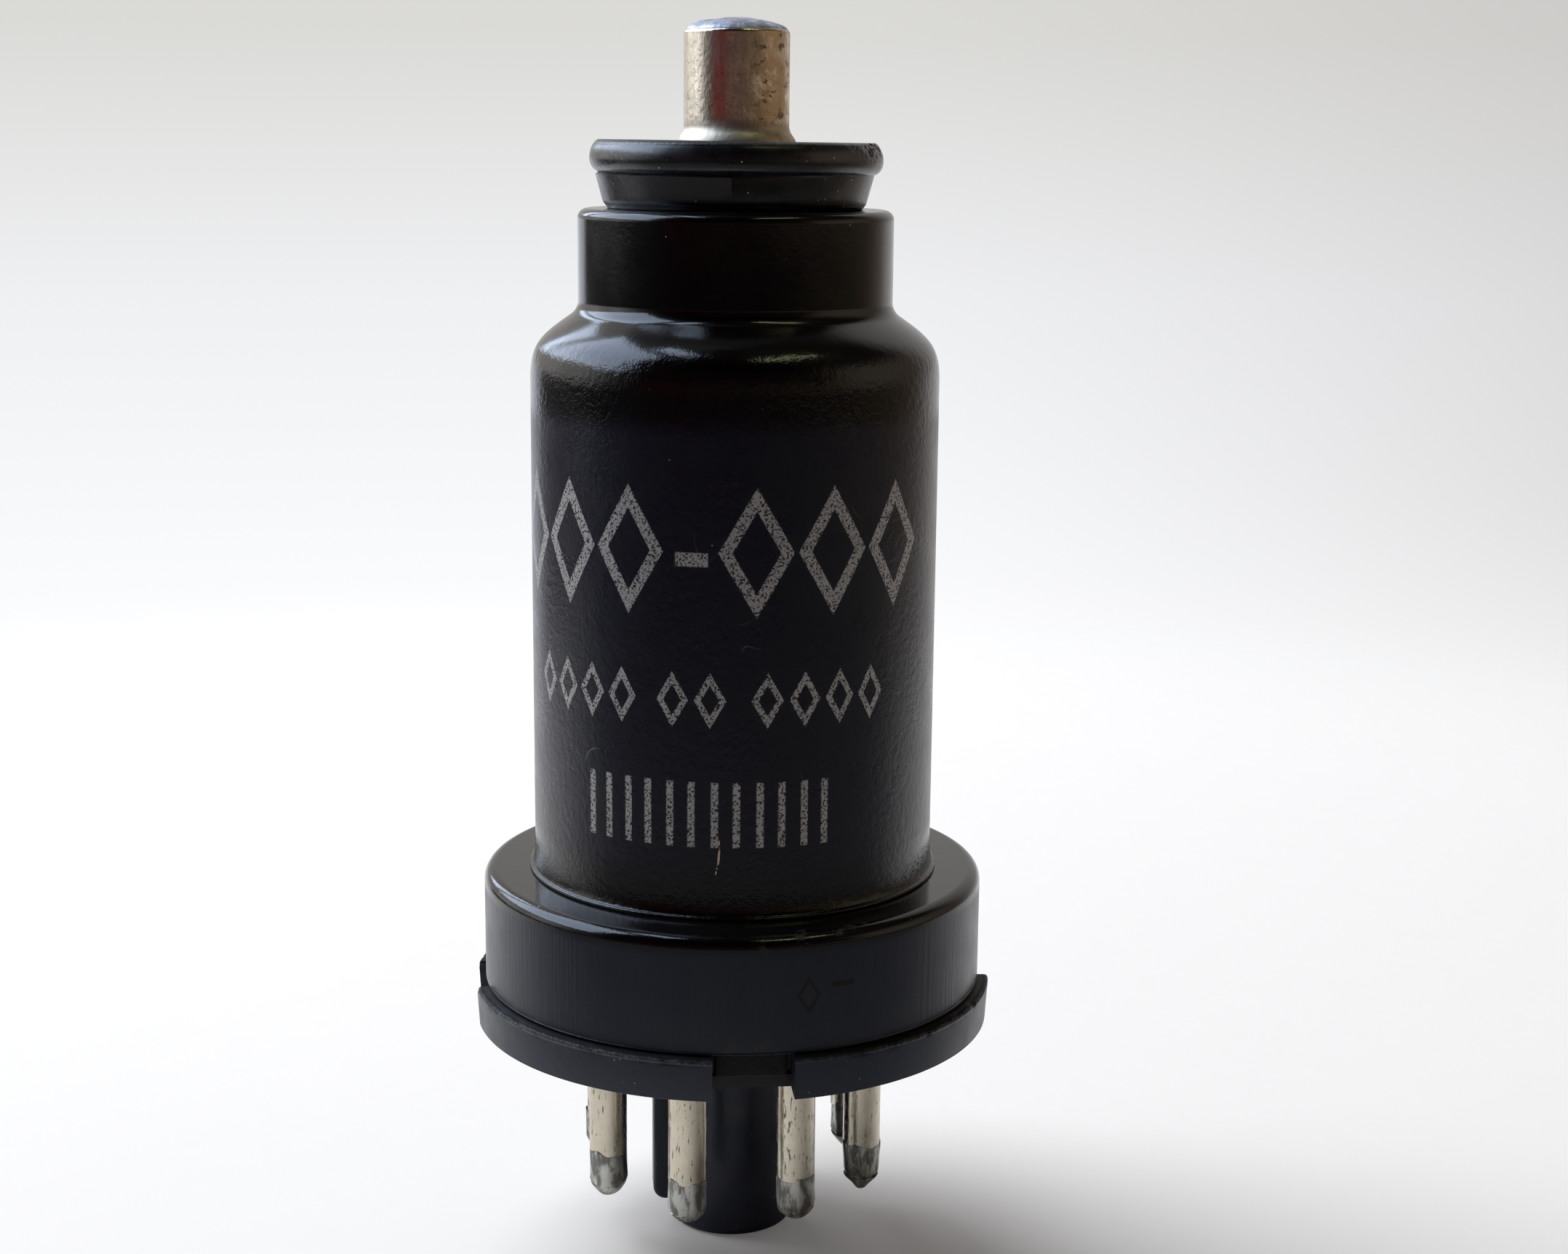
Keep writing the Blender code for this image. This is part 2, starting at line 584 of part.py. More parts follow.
def insulator_profile():
    """Beaded rim over a tapered body, whose foot is held under the rolled lip."""
    bore = CAP_HOLE_RADIUS + CLEARANCE
    hollow = TOP_EYELET_RADIUS + TOP_EYELET_LIP + CLEARANCE
    hollow_top = POCKET_FLOOR_Z + TOP_EYELET_STAND + CLEARANCE
    foot_bottom = POCKET_FLOOR_Z + SEAM
    foot_top = foot_bottom + INSULATOR_FOOT_HEIGHT
    foot_radius = POCKET_RADIUS - CLEARANCE
    corner = INSULATOR_BEAD_CORNER
    groove_z = INSULATOR_TOP_Z - INSULATOR_BEAD_HEIGHT
    groove_radius = INSULATOR_RADIUS - INSULATOR_GROOVE_DEPTH
    fillet_radius = INSULATOR_WAIST_RADIUS + INSULATOR_FILLET_WIDTH
    fillet_z = SHELL_TOP_Z + INSULATOR_FILLET_HEIGHT
    profile = [(bore, hollow_top), (bore, INSULATOR_TOP_Z)]
    profile += arc(INSULATOR_RADIUS - corner, INSULATOR_TOP_Z - corner, corner, QUARTER, 0, CORNER_STEPS)
    profile += [(INSULATOR_RADIUS, groove_z + INSULATOR_GROOVE_HALF_WIDTH), (groove_radius, groove_z)]
    profile += [(groove_radius, groove_z - INSULATOR_GROOVE_HALF_WIDTH), (fillet_radius, fillet_z)]
    profile += [(INSULATOR_WAIST_RADIUS, SHELL_TOP_Z), (INSULATOR_WAIST_RADIUS, foot_top)]
    profile += [(foot_radius, foot_top), (foot_radius, foot_bottom)]
    profile += [(hollow, foot_bottom), (hollow, hollow_top)]
    return profile


def build_insulator(parent, phenolic):
    """Moulded disc between the shell and the grid cap."""
    mesh = turned("cap_insulator", insulator_profile(), INSULATOR_SEGMENTS, phenolic)
    place("cap_insulator", mesh, parent)


def cap_profile():
    """Drawn cap: rounded top with a hole for the lead, flared mouth."""
    corner = CAP_CORNER_RADIUS
    inner = CAP_RADIUS - CAP_WALL
    mouth = CAP_RADIUS + CAP_FLARE
    flare_z = CAP_BOTTOM_Z + CAP_FLARE_HEIGHT
    flare_end = math.pi + CAP_FLARE_TURN
    profile = [(CAP_HOLE_RADIUS, CAP_TOP_Z)]
    profile += arc(CAP_RADIUS - corner, CAP_TOP_Z - corner, corner, QUARTER, 0, EDGE_STEPS)
    profile += arc(mouth, flare_z, CAP_FLARE, math.pi, flare_end, CORNER_STEPS, radius_z=CAP_FLARE_HEIGHT)
    profile += [(mouth, CAP_BOTTOM_Z), (mouth - CAP_WALL, CAP_BOTTOM_Z)]
    profile += [(inner, flare_z), (inner, CAP_TOP_Z - CAP_WALL), (CAP_HOLE_RADIUS, CAP_TOP_Z - CAP_WALL)]
    return profile


def cap_solder_profile():
    """Solder run over the cap's end and down its hole."""
    bottom = CAP_TOP_Z + SEAM
    edge = CAP_RADIUS - CAP_SOLDER_EDGE
    plug_radius = CAP_HOLE_RADIUS - SEAM
    plug_z = CAP_TOP_Z - CAP_SOLDER_PLUG
    profile = [(0, plug_z), (plug_radius, plug_z), (plug_radius, bottom)]
    profile += arc(0, bottom, edge, 0, QUARTER, DOME_STEPS, radius_z=CAP_SOLDER_RISE)[:-1]
    profile += [(0, bottom + CAP_SOLDER_RISE)]
    return profile


def build_cap(parent, solder):
    """Grid cap and the solder that fixes its lead."""
    place("grid_cap", turned("grid_cap", cap_profile(), CAP_SEGMENTS, finish(*CAP_NICKEL)), parent)
    place("cap_solder", turned("cap_solder", cap_solder_profile(), CAP_SEGMENTS, solder), parent)


def main():
    for leftover in list(bpy.data.objects):
        bpy.data.objects.remove(leftover)
    tube = bpy.data.objects.new("tube", None)
    bpy.context.scene.collection.objects.link(tube)
    enamel = finish(*BLACK_ENAMEL)
    phenolic = finish(*BLACK_PHENOLIC)
    solder = finish(*SOLDER)
    nickel = finish(*NICKEL_WIRE)
    alloy = finish(*SEALING_ALLOY)
    glass = finish(*BEAD_GLASS)
    build_wafer(tube, phenolic)
    build_header(tube, enamel)
    build_pins(tube, solder)
    build_lead_seals(tube, nickel, alloy, glass)
    build_exhaust_tube(tube)
    build_shell(tube, enamel)
    build_top_seal(tube, nickel, alloy, glass)
    build_insulator(tube, phenolic)
    build_cap(tube, solder)


main()
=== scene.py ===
"""The looks of a metal-shell vacuum tube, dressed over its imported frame. Metres, +Z up.

The tube stands on its plug at the origin, with its key towards -X.
Angles round the tube are counted from -Y, its front, towards +X.
"""

import json
from math import acos, atan2, cos, hypot, pi, radians, sin, tan

import bmesh
import bpy
from mathutils import Matrix, Vector, noise


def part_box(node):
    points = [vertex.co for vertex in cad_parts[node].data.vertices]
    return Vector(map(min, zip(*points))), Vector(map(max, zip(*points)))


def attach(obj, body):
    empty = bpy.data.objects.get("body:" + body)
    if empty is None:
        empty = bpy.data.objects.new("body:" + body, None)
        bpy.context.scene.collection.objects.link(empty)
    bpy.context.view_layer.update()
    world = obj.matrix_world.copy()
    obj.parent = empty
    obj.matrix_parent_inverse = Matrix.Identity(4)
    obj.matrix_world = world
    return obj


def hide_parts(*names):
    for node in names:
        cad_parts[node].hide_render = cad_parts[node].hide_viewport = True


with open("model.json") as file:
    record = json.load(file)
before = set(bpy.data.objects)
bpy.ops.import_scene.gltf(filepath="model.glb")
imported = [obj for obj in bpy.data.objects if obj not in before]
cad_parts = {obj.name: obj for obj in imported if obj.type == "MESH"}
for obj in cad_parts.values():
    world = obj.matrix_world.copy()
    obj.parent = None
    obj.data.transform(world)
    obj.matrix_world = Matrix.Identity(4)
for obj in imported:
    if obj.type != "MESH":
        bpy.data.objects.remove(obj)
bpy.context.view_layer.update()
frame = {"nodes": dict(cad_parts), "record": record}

# Camera of the photograph, which looks at the tube turned a little about its axis
IMAGE_WIDTH = 2156
FOCAL_PIXELS = 3331.35
SENSOR_WIDTH = 36.0
TUBE_TURN = radians(5.79)
CAMERA_SIDE = 0.003121
CAMERA_DISTANCE = 0.147991
CAMERA_HEIGHT = 0.068724
CAMERA_PITCH = radians(11.359)
CAMERA_ROLL = radians(-0.536)

# Sizes of the shell that its box doesn't give
SHELL_RADIUS = 0.01245
BODY_HEIGHT = 0.0304
FOOT_LIP = 0.00025
FOOT_FLARE_HEIGHT = 0.0017
SHOULDER_HEIGHT = 0.00384
SHOULDER_SLOPE = radians(35)
SHOULDER_FULLNESS = 0.47
NECK_RADIUS = 0.00953
NECK_FILLET_RADIUS = 0.0011
NECK_EDGE_RADIUS = 0.0006
NECK_WALL = 0.00065
LIP_WIDTH = 0.0018
LIP_THICKNESS = 0.0008
LIP_EDGE_RADIUS = 0.00012
POCKET_DEPTH = 0.0027
RECESS_DEPTH = 0.0024
RECESS_RADIUS = 0.0033

# Sizes of the collar and the wafer
COLLAR_RADIUS = 0.01565
COLLAR_CORNER_RADIUS = 0.0008
SKIRT_BOTTOM_Z = 0.0168
SKIRT_EDGE_RADIUS = 0.00012
HEADER_WALL = 0.00075
HEADER_BEND_RADIUS = 0.0003
EXHAUST_HOLE_RADIUS = 0.0018
SEAL_HOLE_RADIUS = 0.0019
CRIMP_DEPTH = 0.0012
CRIMP_ROUNDING = 0.00012
NOTCH_WIDTH = 0.0048
NOTCH_LEDGE = 0.00035
NOTCH_COUNT = 4
TAB_WIDTH = 0.0042
SEAT_Z = 0.0142
FLANGE_LIP = 0.0007
FLANGE_HEIGHT = 0.0025
FLANGE_EDGE_RADIUS = 0.00016
FLANGE_FOOT_EDGE_RADIUS = 0.00006
FLANGE_TAPER = 0.00015
FLANGE_WALL_RINGS = (0.00028, 0.00036, 0.00046, 0.0006)
WAFER_RADIUS = 0.0146
PLUG_RADIUS = 0.0039
PLUG_WALL = 0.001
PLUG_EDGE_RADIUS = 0.0005
KEY_REACH = 0.0051
KEY_WIDTH = 0.002
KEY_SETBACK = 0.0014
KEY_CORNER_RADIUS = 0.0008
KEY_EDGE_RADIUS = 0.00025

# Sizes of the insulator's disc, the cap and the pins
DISC_BORE = 0.0011
DISC_HOLLOW = 0.0044
DISC_HOLLOW_DEPTH = 0.0011
DISC_FOOT_RADIUS = 0.00858
DISC_FOOT_HEIGHT = 0.0015
DISC_WAIST_RADIUS = 0.00763
DISC_RIM_INSET = 0.00046
DISC_BEAD_DROP = 0.00112
DISC_BEAD_OVERSHOOT = 0.00006
DISC_BEAD_DEPTH = 0.0007
DISC_GROOVE_RADIUS = 0.00829
DISC_GROOVE_Z = 0.06675
DISC_BODY_RADIUS = 0.00835
DISC_BODY_TOP_Z = 0.0666
DISC_BODY_FOOT_RADIUS = 0.00792
DISC_BODY_FOOT_Z = 0.065
DISC_CORNER_RADIUS = 0.0006
DISC_TILT = radians(0.35)
DISC_BODY_SHIFT = 0.0001
CAP_RADIUS = 0.00316
CAP_WALL = 0.0003
CAP_CORNER_RADIUS = 0.00025
CAP_FLARE_BEND = 0.0008
CAP_FLARE_SLOPE = radians(34)
CAP_LIP = 0.0001
CAP_RAISE = 0.0002
CAP_HOLE_RADIUS = 0.0008
PIN_COUNT = 8
PIN_CIRCLE_RADIUS = 0.00873
PIN_RADIUS = 0.00118
PIN_WALL = 0.0003
PIN_HEAD_RADIUS = 0.0016
PIN_HEAD_HEIGHT = 0.0003
PIN_TIP_RADIUS = 0.00093
PIN_TIP_BORE = 0.0005
PIN_HOLE_RADIUS = 0.00128
SOLDER_END = 0.0006
SOLDER_SWELL = 0.00005
SOLDER_FEATHER = 0.00001
SEAM = 0.0001

# Facets
ROUND_SEGMENTS = 384
RIM_SEGMENTS = 900
CAP_SEGMENTS = 160
PIN_SEGMENTS = 48
HOLE_SEGMENTS = 48
CURVE_STEPS = 12
WIDE_STEPS = 28
SHARP_ANGLE = radians(40)
MERGE_DISTANCE = 0.000001
OVERCUT = 0.001

QUARTER = pi / 2
FULL_TURN = 2 * pi


def bottom_of(name):
    """Height of a node's lowest point."""
    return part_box(name)[0].z


def top_of(name):
    """Height of a node's highest point."""
    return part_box(name)[1].z


def reach_of(name):
    """Greatest radius of a round node."""
    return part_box(name)[1].x


def arc(centre_r, centre_z, radius_r, start, end, steps=CURVE_STEPS, radius_z=None):
    """Points on an arc or elliptic arc of a half-section, both ends included."""
    radius_z = radius_r if radius_z is None else radius_z
    points = []
    for step in range(steps + 1):
        angle = start + (end - start) * step / steps
        points.append((centre_r + radius_r * cos(angle), centre_z + radius_z * sin(angle)))
    return points


def bezier(start, start_handle, end_handle, end, steps):
    """Points on a cubic curve of a half-section, both ends included."""
    points = []
    for step in range(steps + 1):
        t = step / steps
        weights = ((1 - t) ** 3, 3 * t * (1 - t) ** 2, 3 * t ** 2 * (1 - t), t ** 3)
        corners = (start, start_handle, end_handle, end)
        points.append(tuple(sum(w * c[axis] for w, c in zip(weights, corners)) for axis in (0, 1)))
    return points


def filleted(corners, steps=CURVE_STEPS):
    """A section through corners of (r, z) or (r, z, fillet radius)."""
    points = []
    for index, corner in enumerate(corners):
        here = Vector(corner[:2])
        if len(corner) == 2:
            points.append(tuple(here))
            continue
        back = (Vector(corners[index - 1][:2]) - here).normalized()
        ahead = (Vector(corners[(index + 1) % len(corners)][:2]) - here).normalized()
        half = back.angle(ahead) / 2
        centre = here + (back + ahead).normalized() * corner[2] / sin(half)
        spokes = [here + way * corner[2] / tan(half) - centre for way in (back, ahead)]
        start, end = (atan2(spoke.y, spoke.x) for spoke in spokes)
        sweep = (end - start + pi) % FULL_TURN - pi
        points += arc(centre.x, centre.y, corner[2], start, start + sweep, steps)
    return points


def mesh_from(bm, name):
    """Turns a bmesh into a mesh, with doubles merged and normals made consistent."""
    bmesh.ops.remove_doubles(bm, verts=bm.verts, dist=MERGE_DISTANCE)
    bmesh.ops.recalc_face_normals(bm, faces=bm.faces)
    mesh = bpy.data.meshes.new(name)
    bm.to_mesh(mesh)
    bm.free()
    return mesh


def turned(name, profile, segments):
    """A piece of revolution. A half-section off the axis is closed into a ring."""
    bm = bmesh.new()
    verts = [bm.verts.new((radius, 0.0, height)) for radius, height in profile]
    pairs = list(zip(verts, verts[1:]))
    if profile[0][0] > 0:
        pairs.append((verts[-1], verts[0]))
    edges = [bm.edges.new(pair) for pair in pairs]
    around = {"axis": (0, 0, 1), "cent": (0, 0, 0), "angle": FULL_TURN, "steps": segments}
    bmesh.ops.spin(bm, geom=verts + edges, use_merge=True, **around)
    return new_object(name, mesh_from(bm, name))


def prisms(name, outline, width, count):
    """Upright plates of an (x, z) outline and a width along Y, spread evenly about Z."""
    bm = bmesh.new()
    for index in range(count):
        verts = [bm.verts.new((x, -width / 2, z)) for x, z in outline]
        side = bm.faces.new(verts)
        grown = bmesh.ops.extrude_face_region(bm, geom=[side])["geom"]
        moved = [item for item in grown if isinstance(item, bmesh.types.BMVert)]
        bmesh.ops.translate(bm, verts=moved, vec=(0, width, 0))
        turn = Matrix.Rotation(FULL_TURN * index / count, 3, "Z")
        bmesh.ops.rotate(bm, verts=verts + moved, cent=(0, 0, 0), matrix=turn)
    return mesh_from(bm, name)


def drills(name, places, radius, bottom, top):
    """Upright cylinders for cutting holes at the given places."""
    bm = bmesh.new()
    for x, y in places:
        size = {"radius1": radius, "radius2": radius, "depth": top - bottom}
        drilled = bmesh.ops.create_cone(bm, cap_ends=True, segments=HOLE_SEGMENTS, **size)
        bmesh.ops.translate(bm, verts=drilled["verts"], vec=(x, y, (bottom + top) / 2))
    return mesh_from(bm, name)


def pin_place(number):
    """Centre of a pin. Pins count clockwise from the key as seen from below."""
    pitch = FULL_TURN / PIN_COUNT
    angle = pi + pitch / 2 + (number - 1) * pitch
    return PIN_CIRCLE_RADIUS * cos(angle), PIN_CIRCLE_RADIUS * sin(angle)


def new_object(name, mesh):
    """Links a mesh to the scene."""
    made = bpy.data.objects.new(name, mesh)
    bpy.context.scene.collection.objects.link(made)
    return made


def settle(piece):
    """Replaces a piece's mesh by what its modifiers make of it."""
    depsgraph = bpy.context.evaluated_depsgraph_get()
    mesh = bpy.data.meshes.new_from_object(piece.evaluated_get(depsgraph))
    piece.modifiers.clear()
    piece.data = mesh


def shape_with(piece, mesh, operation, rounding=0.0):
    """Cuts a tool out of a piece, or unites it. The tool's own edges can be rounded."""
    tool = new_object(mesh.name, mesh)
    if rounding:
        edges = tool.modifiers.new("edges", "BEVEL")
        edges.width = rounding
        edges.segments = 3
        edges.limit_method = "ANGLE"
        edges.angle_limit = SHARP_ANGLE
        settle(tool)
    cut = piece.modifiers.new("cut", "BOOLEAN")
    cut.operation = operation
    cut.solver = "EXACT"
    cut.object = tool
    settle(piece)
    bpy.data.objects.remove(tool)


def dress(piece, nodes, material):
    """Gives a piece its finish and puts it on the tube in place of CAD nodes."""
    piece.data.shade_smooth()
    piece.data.set_sharp_from_angle(angle=SHARP_ANGLE)
    piece.data.materials.clear()
    piece.data.materials.append(material)
    weighted = piece.modifiers.new("normals", "WEIGHTED_NORMAL")
    weighted.keep_sharp = True
    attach(piece, "root")
    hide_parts(*nodes)


def angle_at(point):
    """Angle round the tube of a point, from the front towards +X."""
    return atan2(point.x, -point.y)


def fade(value, low, high):
    """0 at low, 1 at high, smooth between. Works downwards too."""
    t = min(max((value - low) / (high - low), 0.0), 1.0)
    return t * t * (3 - 2 * t)


class Shader:
    """A node tree with short calls. Each call returns the output that it makes."""

    def __init__(self, owner):
        owner.use_nodes = True
        self.tree = owner.node_tree
        self.tree.nodes.clear()
        self.coordinates = self.node("TexCoord").outputs
        self.place = self.coordinates["Object"]

    def node(self, kind, inputs=None, **settings):
        made = self.tree.nodes.new("ShaderNode" + kind)
        for key, value in settings.items():
            setattr(made, key, value)
        for key, value in (inputs or {}).items():
            if isinstance(value, bpy.types.NodeSocket):
                self.tree.links.new(value, made.inputs[key])
            else:
                made.inputs[key].default_value = value
        return made

    def out(self, kind, inputs, **settings):
        return self.node(kind, inputs, **settings).outputs[0]

    def math(self, operation, first, second=0.0):
        return self.out("Math", {0: first, 1: second}, operation=operation)

    def chain(self, operation, values):
        total = values[0]
        for value in values[1:]:
            total = self.math(operation, total, value)
        return total

    def product(self, *values):
        return self.chain("MULTIPLY", values)

    def either(self, *masks):
        return self.chain("MAXIMUM", masks)

    def off(self, value, centre):
        """How far a value is from a centre."""
        return self.math("ABSOLUTE", self.math("SUBTRACT", value, centre))

    def ramp(self, value, low, high, bottom=0.0, top=1.0):
        inputs = {"Value": value, "From Min": low, "From Max": high, "To Min": bottom, "To Max": top}
        return self.out("MapRange", inputs, interpolation_type="SMOOTHSTEP")

    def band(self, value, low, high, soft):
        rise = self.ramp(value, low - soft, low + soft)
        return self.product(rise, self.ramp(value, high + soft, high - soft))

    def mix(self, factor, low, high):
        """Between two colours, each an output or three numbers."""
        low, high = ((*colour, 1) if isinstance(colour, tuple) else colour for colour in (low, high))
        inputs = {0: factor, 6: low, 7: high}
        return self.node("Mix", inputs, data_type="RGBA").outputs[2]

    def layered(self, colour, *layers):
        """A colour with others laid over it, each as its mask, its strength and itself."""
        for mask, strength, over in layers:
            colour = self.mix(self.product(mask, strength), colour, over)
        return colour

    def blend(self, factor, low, high):
        return self.out("Mix", {0: factor, 2: low, 3: high}, data_type="FLOAT")

    def axes(self, vector=None):
        return self.node("SeparateXYZ", {0: vector or self.place}).outputs[:]

    def scaled(self, vector, scale):
        return self.out("VectorMath", {0: vector, 1: scale}, operation="MULTIPLY")

    def spread(self):
        """Distance from the axis."""
        flat = self.scaled(self.place, (1, 1, 0))
        return self.node("VectorMath", {0: flat}, operation="LENGTH").outputs["Value"]

    def angle(self, x, y):
        """Angle round the axis, from the front towards +X."""
        return self.math("ARCTAN2", x, self.product(y, -1.0))

    def noise(self, scale, detail=2.0, roughness=0.5, squeeze=1.0):
        """Cloudy noise. A squeeze under 1 draws it out upwards."""
        place = self.place if squeeze == 1 else self.scaled(self.place, (1, 1, squeeze))
        inputs = {"Vector": place, "Scale": scale, "Detail": detail, "Roughness": roughness}
        return self.node("TexNoise", inputs).outputs["Fac"]

    def specks(self, scale, size, share):
        """Round specks of a size in cells, in a share of the cells."""
        made = self.node("TexVoronoi", {"Vector": self.place, "Scale": scale})
        chance = self.axes(made.outputs["Color"])[0]
        chosen = self.math("LESS_THAN", chance, share)
        return self.product(self.ramp(made.outputs["Distance"], size, size / 2), chosen)

    def hairs(self, scale, share):
        """Short curved threads: a contour of noise, seen in a share of the cells."""
        contour = self.off(self.noise(1.4 * scale, 0), 0.5)
        return self.product(self.ramp(contour, 0.008, 0.003), self.specks(scale, 0.42, share))

    def bump(self, height, distance, strength, normal=None):
        inputs = {"Height": height, "Distance": distance, "Strength": strength}
        if normal is not None:
            inputs["Normal"] = normal
        return self.node("Bump", inputs).outputs["Normal"]

    def surface(self, colour, roughness, normal, metallic=0.0, specular=0.5, sheen=0.0):
        inputs = {"Base Color": colour, "Roughness": roughness, "Normal": normal, "Metallic": metallic}
        inputs.update({"Specular IOR Level": specular, "Sheen Weight": sheen})
        self.finish(self.out("BsdfPrincipled", inputs))

    def finish(self, shader):
        kind = "OutputWorld" if self.tree.nodes.get("Background") else "OutputMaterial"
        self.node(kind, {"Surface": shader})


def new_shader(name):
    """A new material and the shader that fills it."""
    material = bpy.data.materials.new(name)
    return material, Shader(material)


# A trace of dust on the black pieces
DARK_SHEEN = 0.02

# Silver print on the shell: rows of simple shapes, placed by angles round the tube
PRINT_COLOUR = (0.45, 0.435, 0.43)
PRINT_RAGGED = 0.0001
PRINT_GRAIN = 9000
PRINT_EDGE = 0.00004
LOZENGE_ROW = {"z": 0.0457, "height": 0.0075, "width": 0.0044, "stroke": 0.36, "turn": 21.4,
               "spans": ((-87.3, -23.1), (-9.3, 54.9))}
STUD_ROW = {"z": 0.0371, "height": 0.0033, "width": 0.0019, "stroke": 0.44, "turn": 10.3,
            "spans": ((-72.1, -30.9), (-26.3, -5.7), (-0.6, 40.6))}
BAR_ROW = {"z": 0.0303, "height": 0.0039, "width": 0.0017, "stroke": 0.00042, "turn": 12.23,
           "spans": ((-49.4, 23.98),)}
DASH = {"z": 0.0453, "height": 0.0008, "from": -0.0044, "to": -0.0025}


def row_cell(shader, angle, height, row):
    """Distances from the middle of a row's repeating cells, and the mask of its stretches."""
    pitch = radians(row["turn"])
    stretches = []
    shares = []
    edge = PRINT_EDGE / SHELL_RADIUS
    for low, high in row["spans"]:
        low, high = radians(low), radians(high)
        half = (high - low) / 2
        off = shader.off(angle, (low + high) / 2)
        share = shader.math("FRACT", shader.math("DIVIDE", shader.math("SUBTRACT", angle, low), pitch))
        inside = shader.math("LESS_THAN", off, half + pitch / 8)
        stretches.append(shader.ramp(off, half + edge, half - edge))
        shares.append(shader.product(shader.math("SUBTRACT", share, 0.5), inside))
    share = shader.math("ABSOLUTE", shader.chain("ADD", shares))
    across = shader.product(share, pitch * SHELL_RADIUS)
    up = shader.off(height, row["z"])
    return across, up, shader.either(*stretches)


def lozenge_row(shader, angle, height, row):
    """A row of lozenge outlines."""
    across, up, stretch = row_cell(shader, angle, height, row)
    wide = shader.math("DIVIDE", across, row["width"] / 2)
    tall = shader.math("DIVIDE", up, row["height"] / 2)
    outline = shader.band(shader.math("ADD", wide, tall), 1 - row["stroke"], 1.0, 0.02)
    return shader.product(outline, stretch)


def bar_row(shader, angle, height, row):
    """A row of upright bars in pairs."""
    across, up, stretch = row_cell(shader, angle, height, row)
    outer = row["width"] / 2
    slim = shader.band(across, outer - row["stroke"], outer, PRINT_EDGE)
    short = shader.ramp(up, row["height"] / 2 + PRINT_EDGE, row["height"] / 2 - PRINT_EDGE)
    return shader.product(slim, short, stretch)


def print_mask(shader):
    """Rows of lozenges, small lozenges and paired bars, with ragged ink."""
    ragged = shader.node("TexNoise", {"Vector": shader.place, "Scale": PRINT_GRAIN}).outputs["Color"]
    ragged = shader.out("VectorMath", {0: ragged, 1: (0.5, 0.5, 0.5)}, operation="SUBTRACT")
    shift = shader.scaled(ragged, (PRINT_RAGGED,) * 3)
    x, y, z = shader.axes(shader.out("VectorMath", {0: shader.place, 1: shift}, operation="ADD"))
    angle = shader.angle(x, y)
    tall_row = lozenge_row(shader, angle, z, LOZENGE_ROW)
    stud_row = lozenge_row(shader, angle, z, STUD_ROW)
    bars = bar_row(shader, angle, z, BAR_ROW)
    arc_length = shader.product(angle, SHELL_RADIUS)
    dash = shader.band(arc_length, DASH["from"], DASH["to"], PRINT_EDGE)
    half = DASH["height"] / 2
    dash = shader.product(dash, shader.band(z, DASH["z"] - half, DASH["z"] + half, PRINT_EDGE))
    return shader.either(tall_row, stud_row, bars, dash)


# A scratch through the print, down to bright metal
SCRATCH = {"top": 0.0293, "bottom": 0.0262, "half_width": 0.00005, "angle": radians(-8.6),
           "wander": 0.016}


def scratch_mask(shader, angle, z):
    """A wandering, broken line down the lower front of the shell."""
    drift = shader.math("SUBTRACT", shader.noise(500, 2), 0.5)
    drift = shader.product(drift, 4 * SCRATCH["wander"])
    off = shader.off(shader.math("SUBTRACT", angle, drift), SCRATCH["angle"])
    thin = SCRATCH["half_width"] / SHELL_RADIUS
    line = shader.ramp(off, 1.6 * thin, 0.6 * thin)
    broken = shader.ramp(shader.noise(2400, 3, 0.6), 0.52, 0.6)
    return shader.product(line, broken, shader.band(z, SCRATCH["bottom"], SCRATCH["top"], 0.0003))


# Heights on the shell: where its enamel is satin, and where the neck's smoothness ends
SATIN_SPAN = (0.0266, 0.0528)
SATIN_FADE = 0.0008
RIPPLE_START = (0.0575, 0.056)


def enamel_shell():
    """Baked black enamel: glossy neck, shoulder and foot, satin body with print."""
    material, shader = new_shader("enamel_shell")
    x, y, z = shader.axes()
    angle = shader.angle(x, y)
    satin = shader.band(z, *SATIN_SPAN, SATIN_FADE)
    mottle = shader.noise(420, 4)
    grain = shader.noise(9000, 2)
    ink_grain = shader.ramp(shader.noise(8000, 2), 0.36, 0.54)
    ink = shader.product(print_mask(shader), ink_grain)
    dust = shader.specks(850, 0.04, 0.2)
    fine_dust = shader.specks(1900, 0.075, 0.14)
    lint = shader.hairs(330, 0.07)
    enamel = shader.mix(satin, (0.0002, 0.0002, 0.001), (0.0012, 0.0022, 0.0115))
    colour = shader.layered(
        enamel,
        (fine_dust, 0.35, (0.16, 0.15, 0.15)),
        (lint, 0.35, (0.2, 0.2, 0.2)),
        (dust, 0.9, (0.4, 0.39, 0.37)),
        (ink, 0.92, PRINT_COLOUR),
        (scratch_mask(shader, angle, z), 1.0, (0.6, 0.47, 0.3)),
    )
    gloss_roughness = shader.ramp(mottle, 0.3, 0.7, 0.11, 0.17)
    satin_roughness = shader.ramp(mottle, 0.3, 0.7, 0.26, 0.31)
    roughness = shader.blend(satin, gloss_roughness, satin_roughness)
    roughness = shader.blend(ink, roughness, 0.5)
    ripple = shader.product(shader.noise(2200, 3, 0.7), shader.ramp(z, *RIPPLE_START, 0.15, 1.0))
    peel = shader.bump(ripple, 0.00006, 0.7)
    normal = shader.bump(shader.product(grain, shader.blend(satin, 0.15, 1.0)), 0.00001, 0.55, peel)
    metallic = shader.product(ink, 0.45)
    shader.surface(colour, roughness, normal, metallic, sheen=DARK_SHEEN)
    return material


# A small stamp on the collar: a lozenge and a dash pressed into the enamel
STAMP_LOZENGE = {"turn": 12.0, "z": 0.0203, "width": 0.0015, "height": 0.0023, "stroke": 0.34}
STAMP_DASH = {"turn": 19.7, "z": 0.0208, "width": 0.0015, "height": 0.00035}


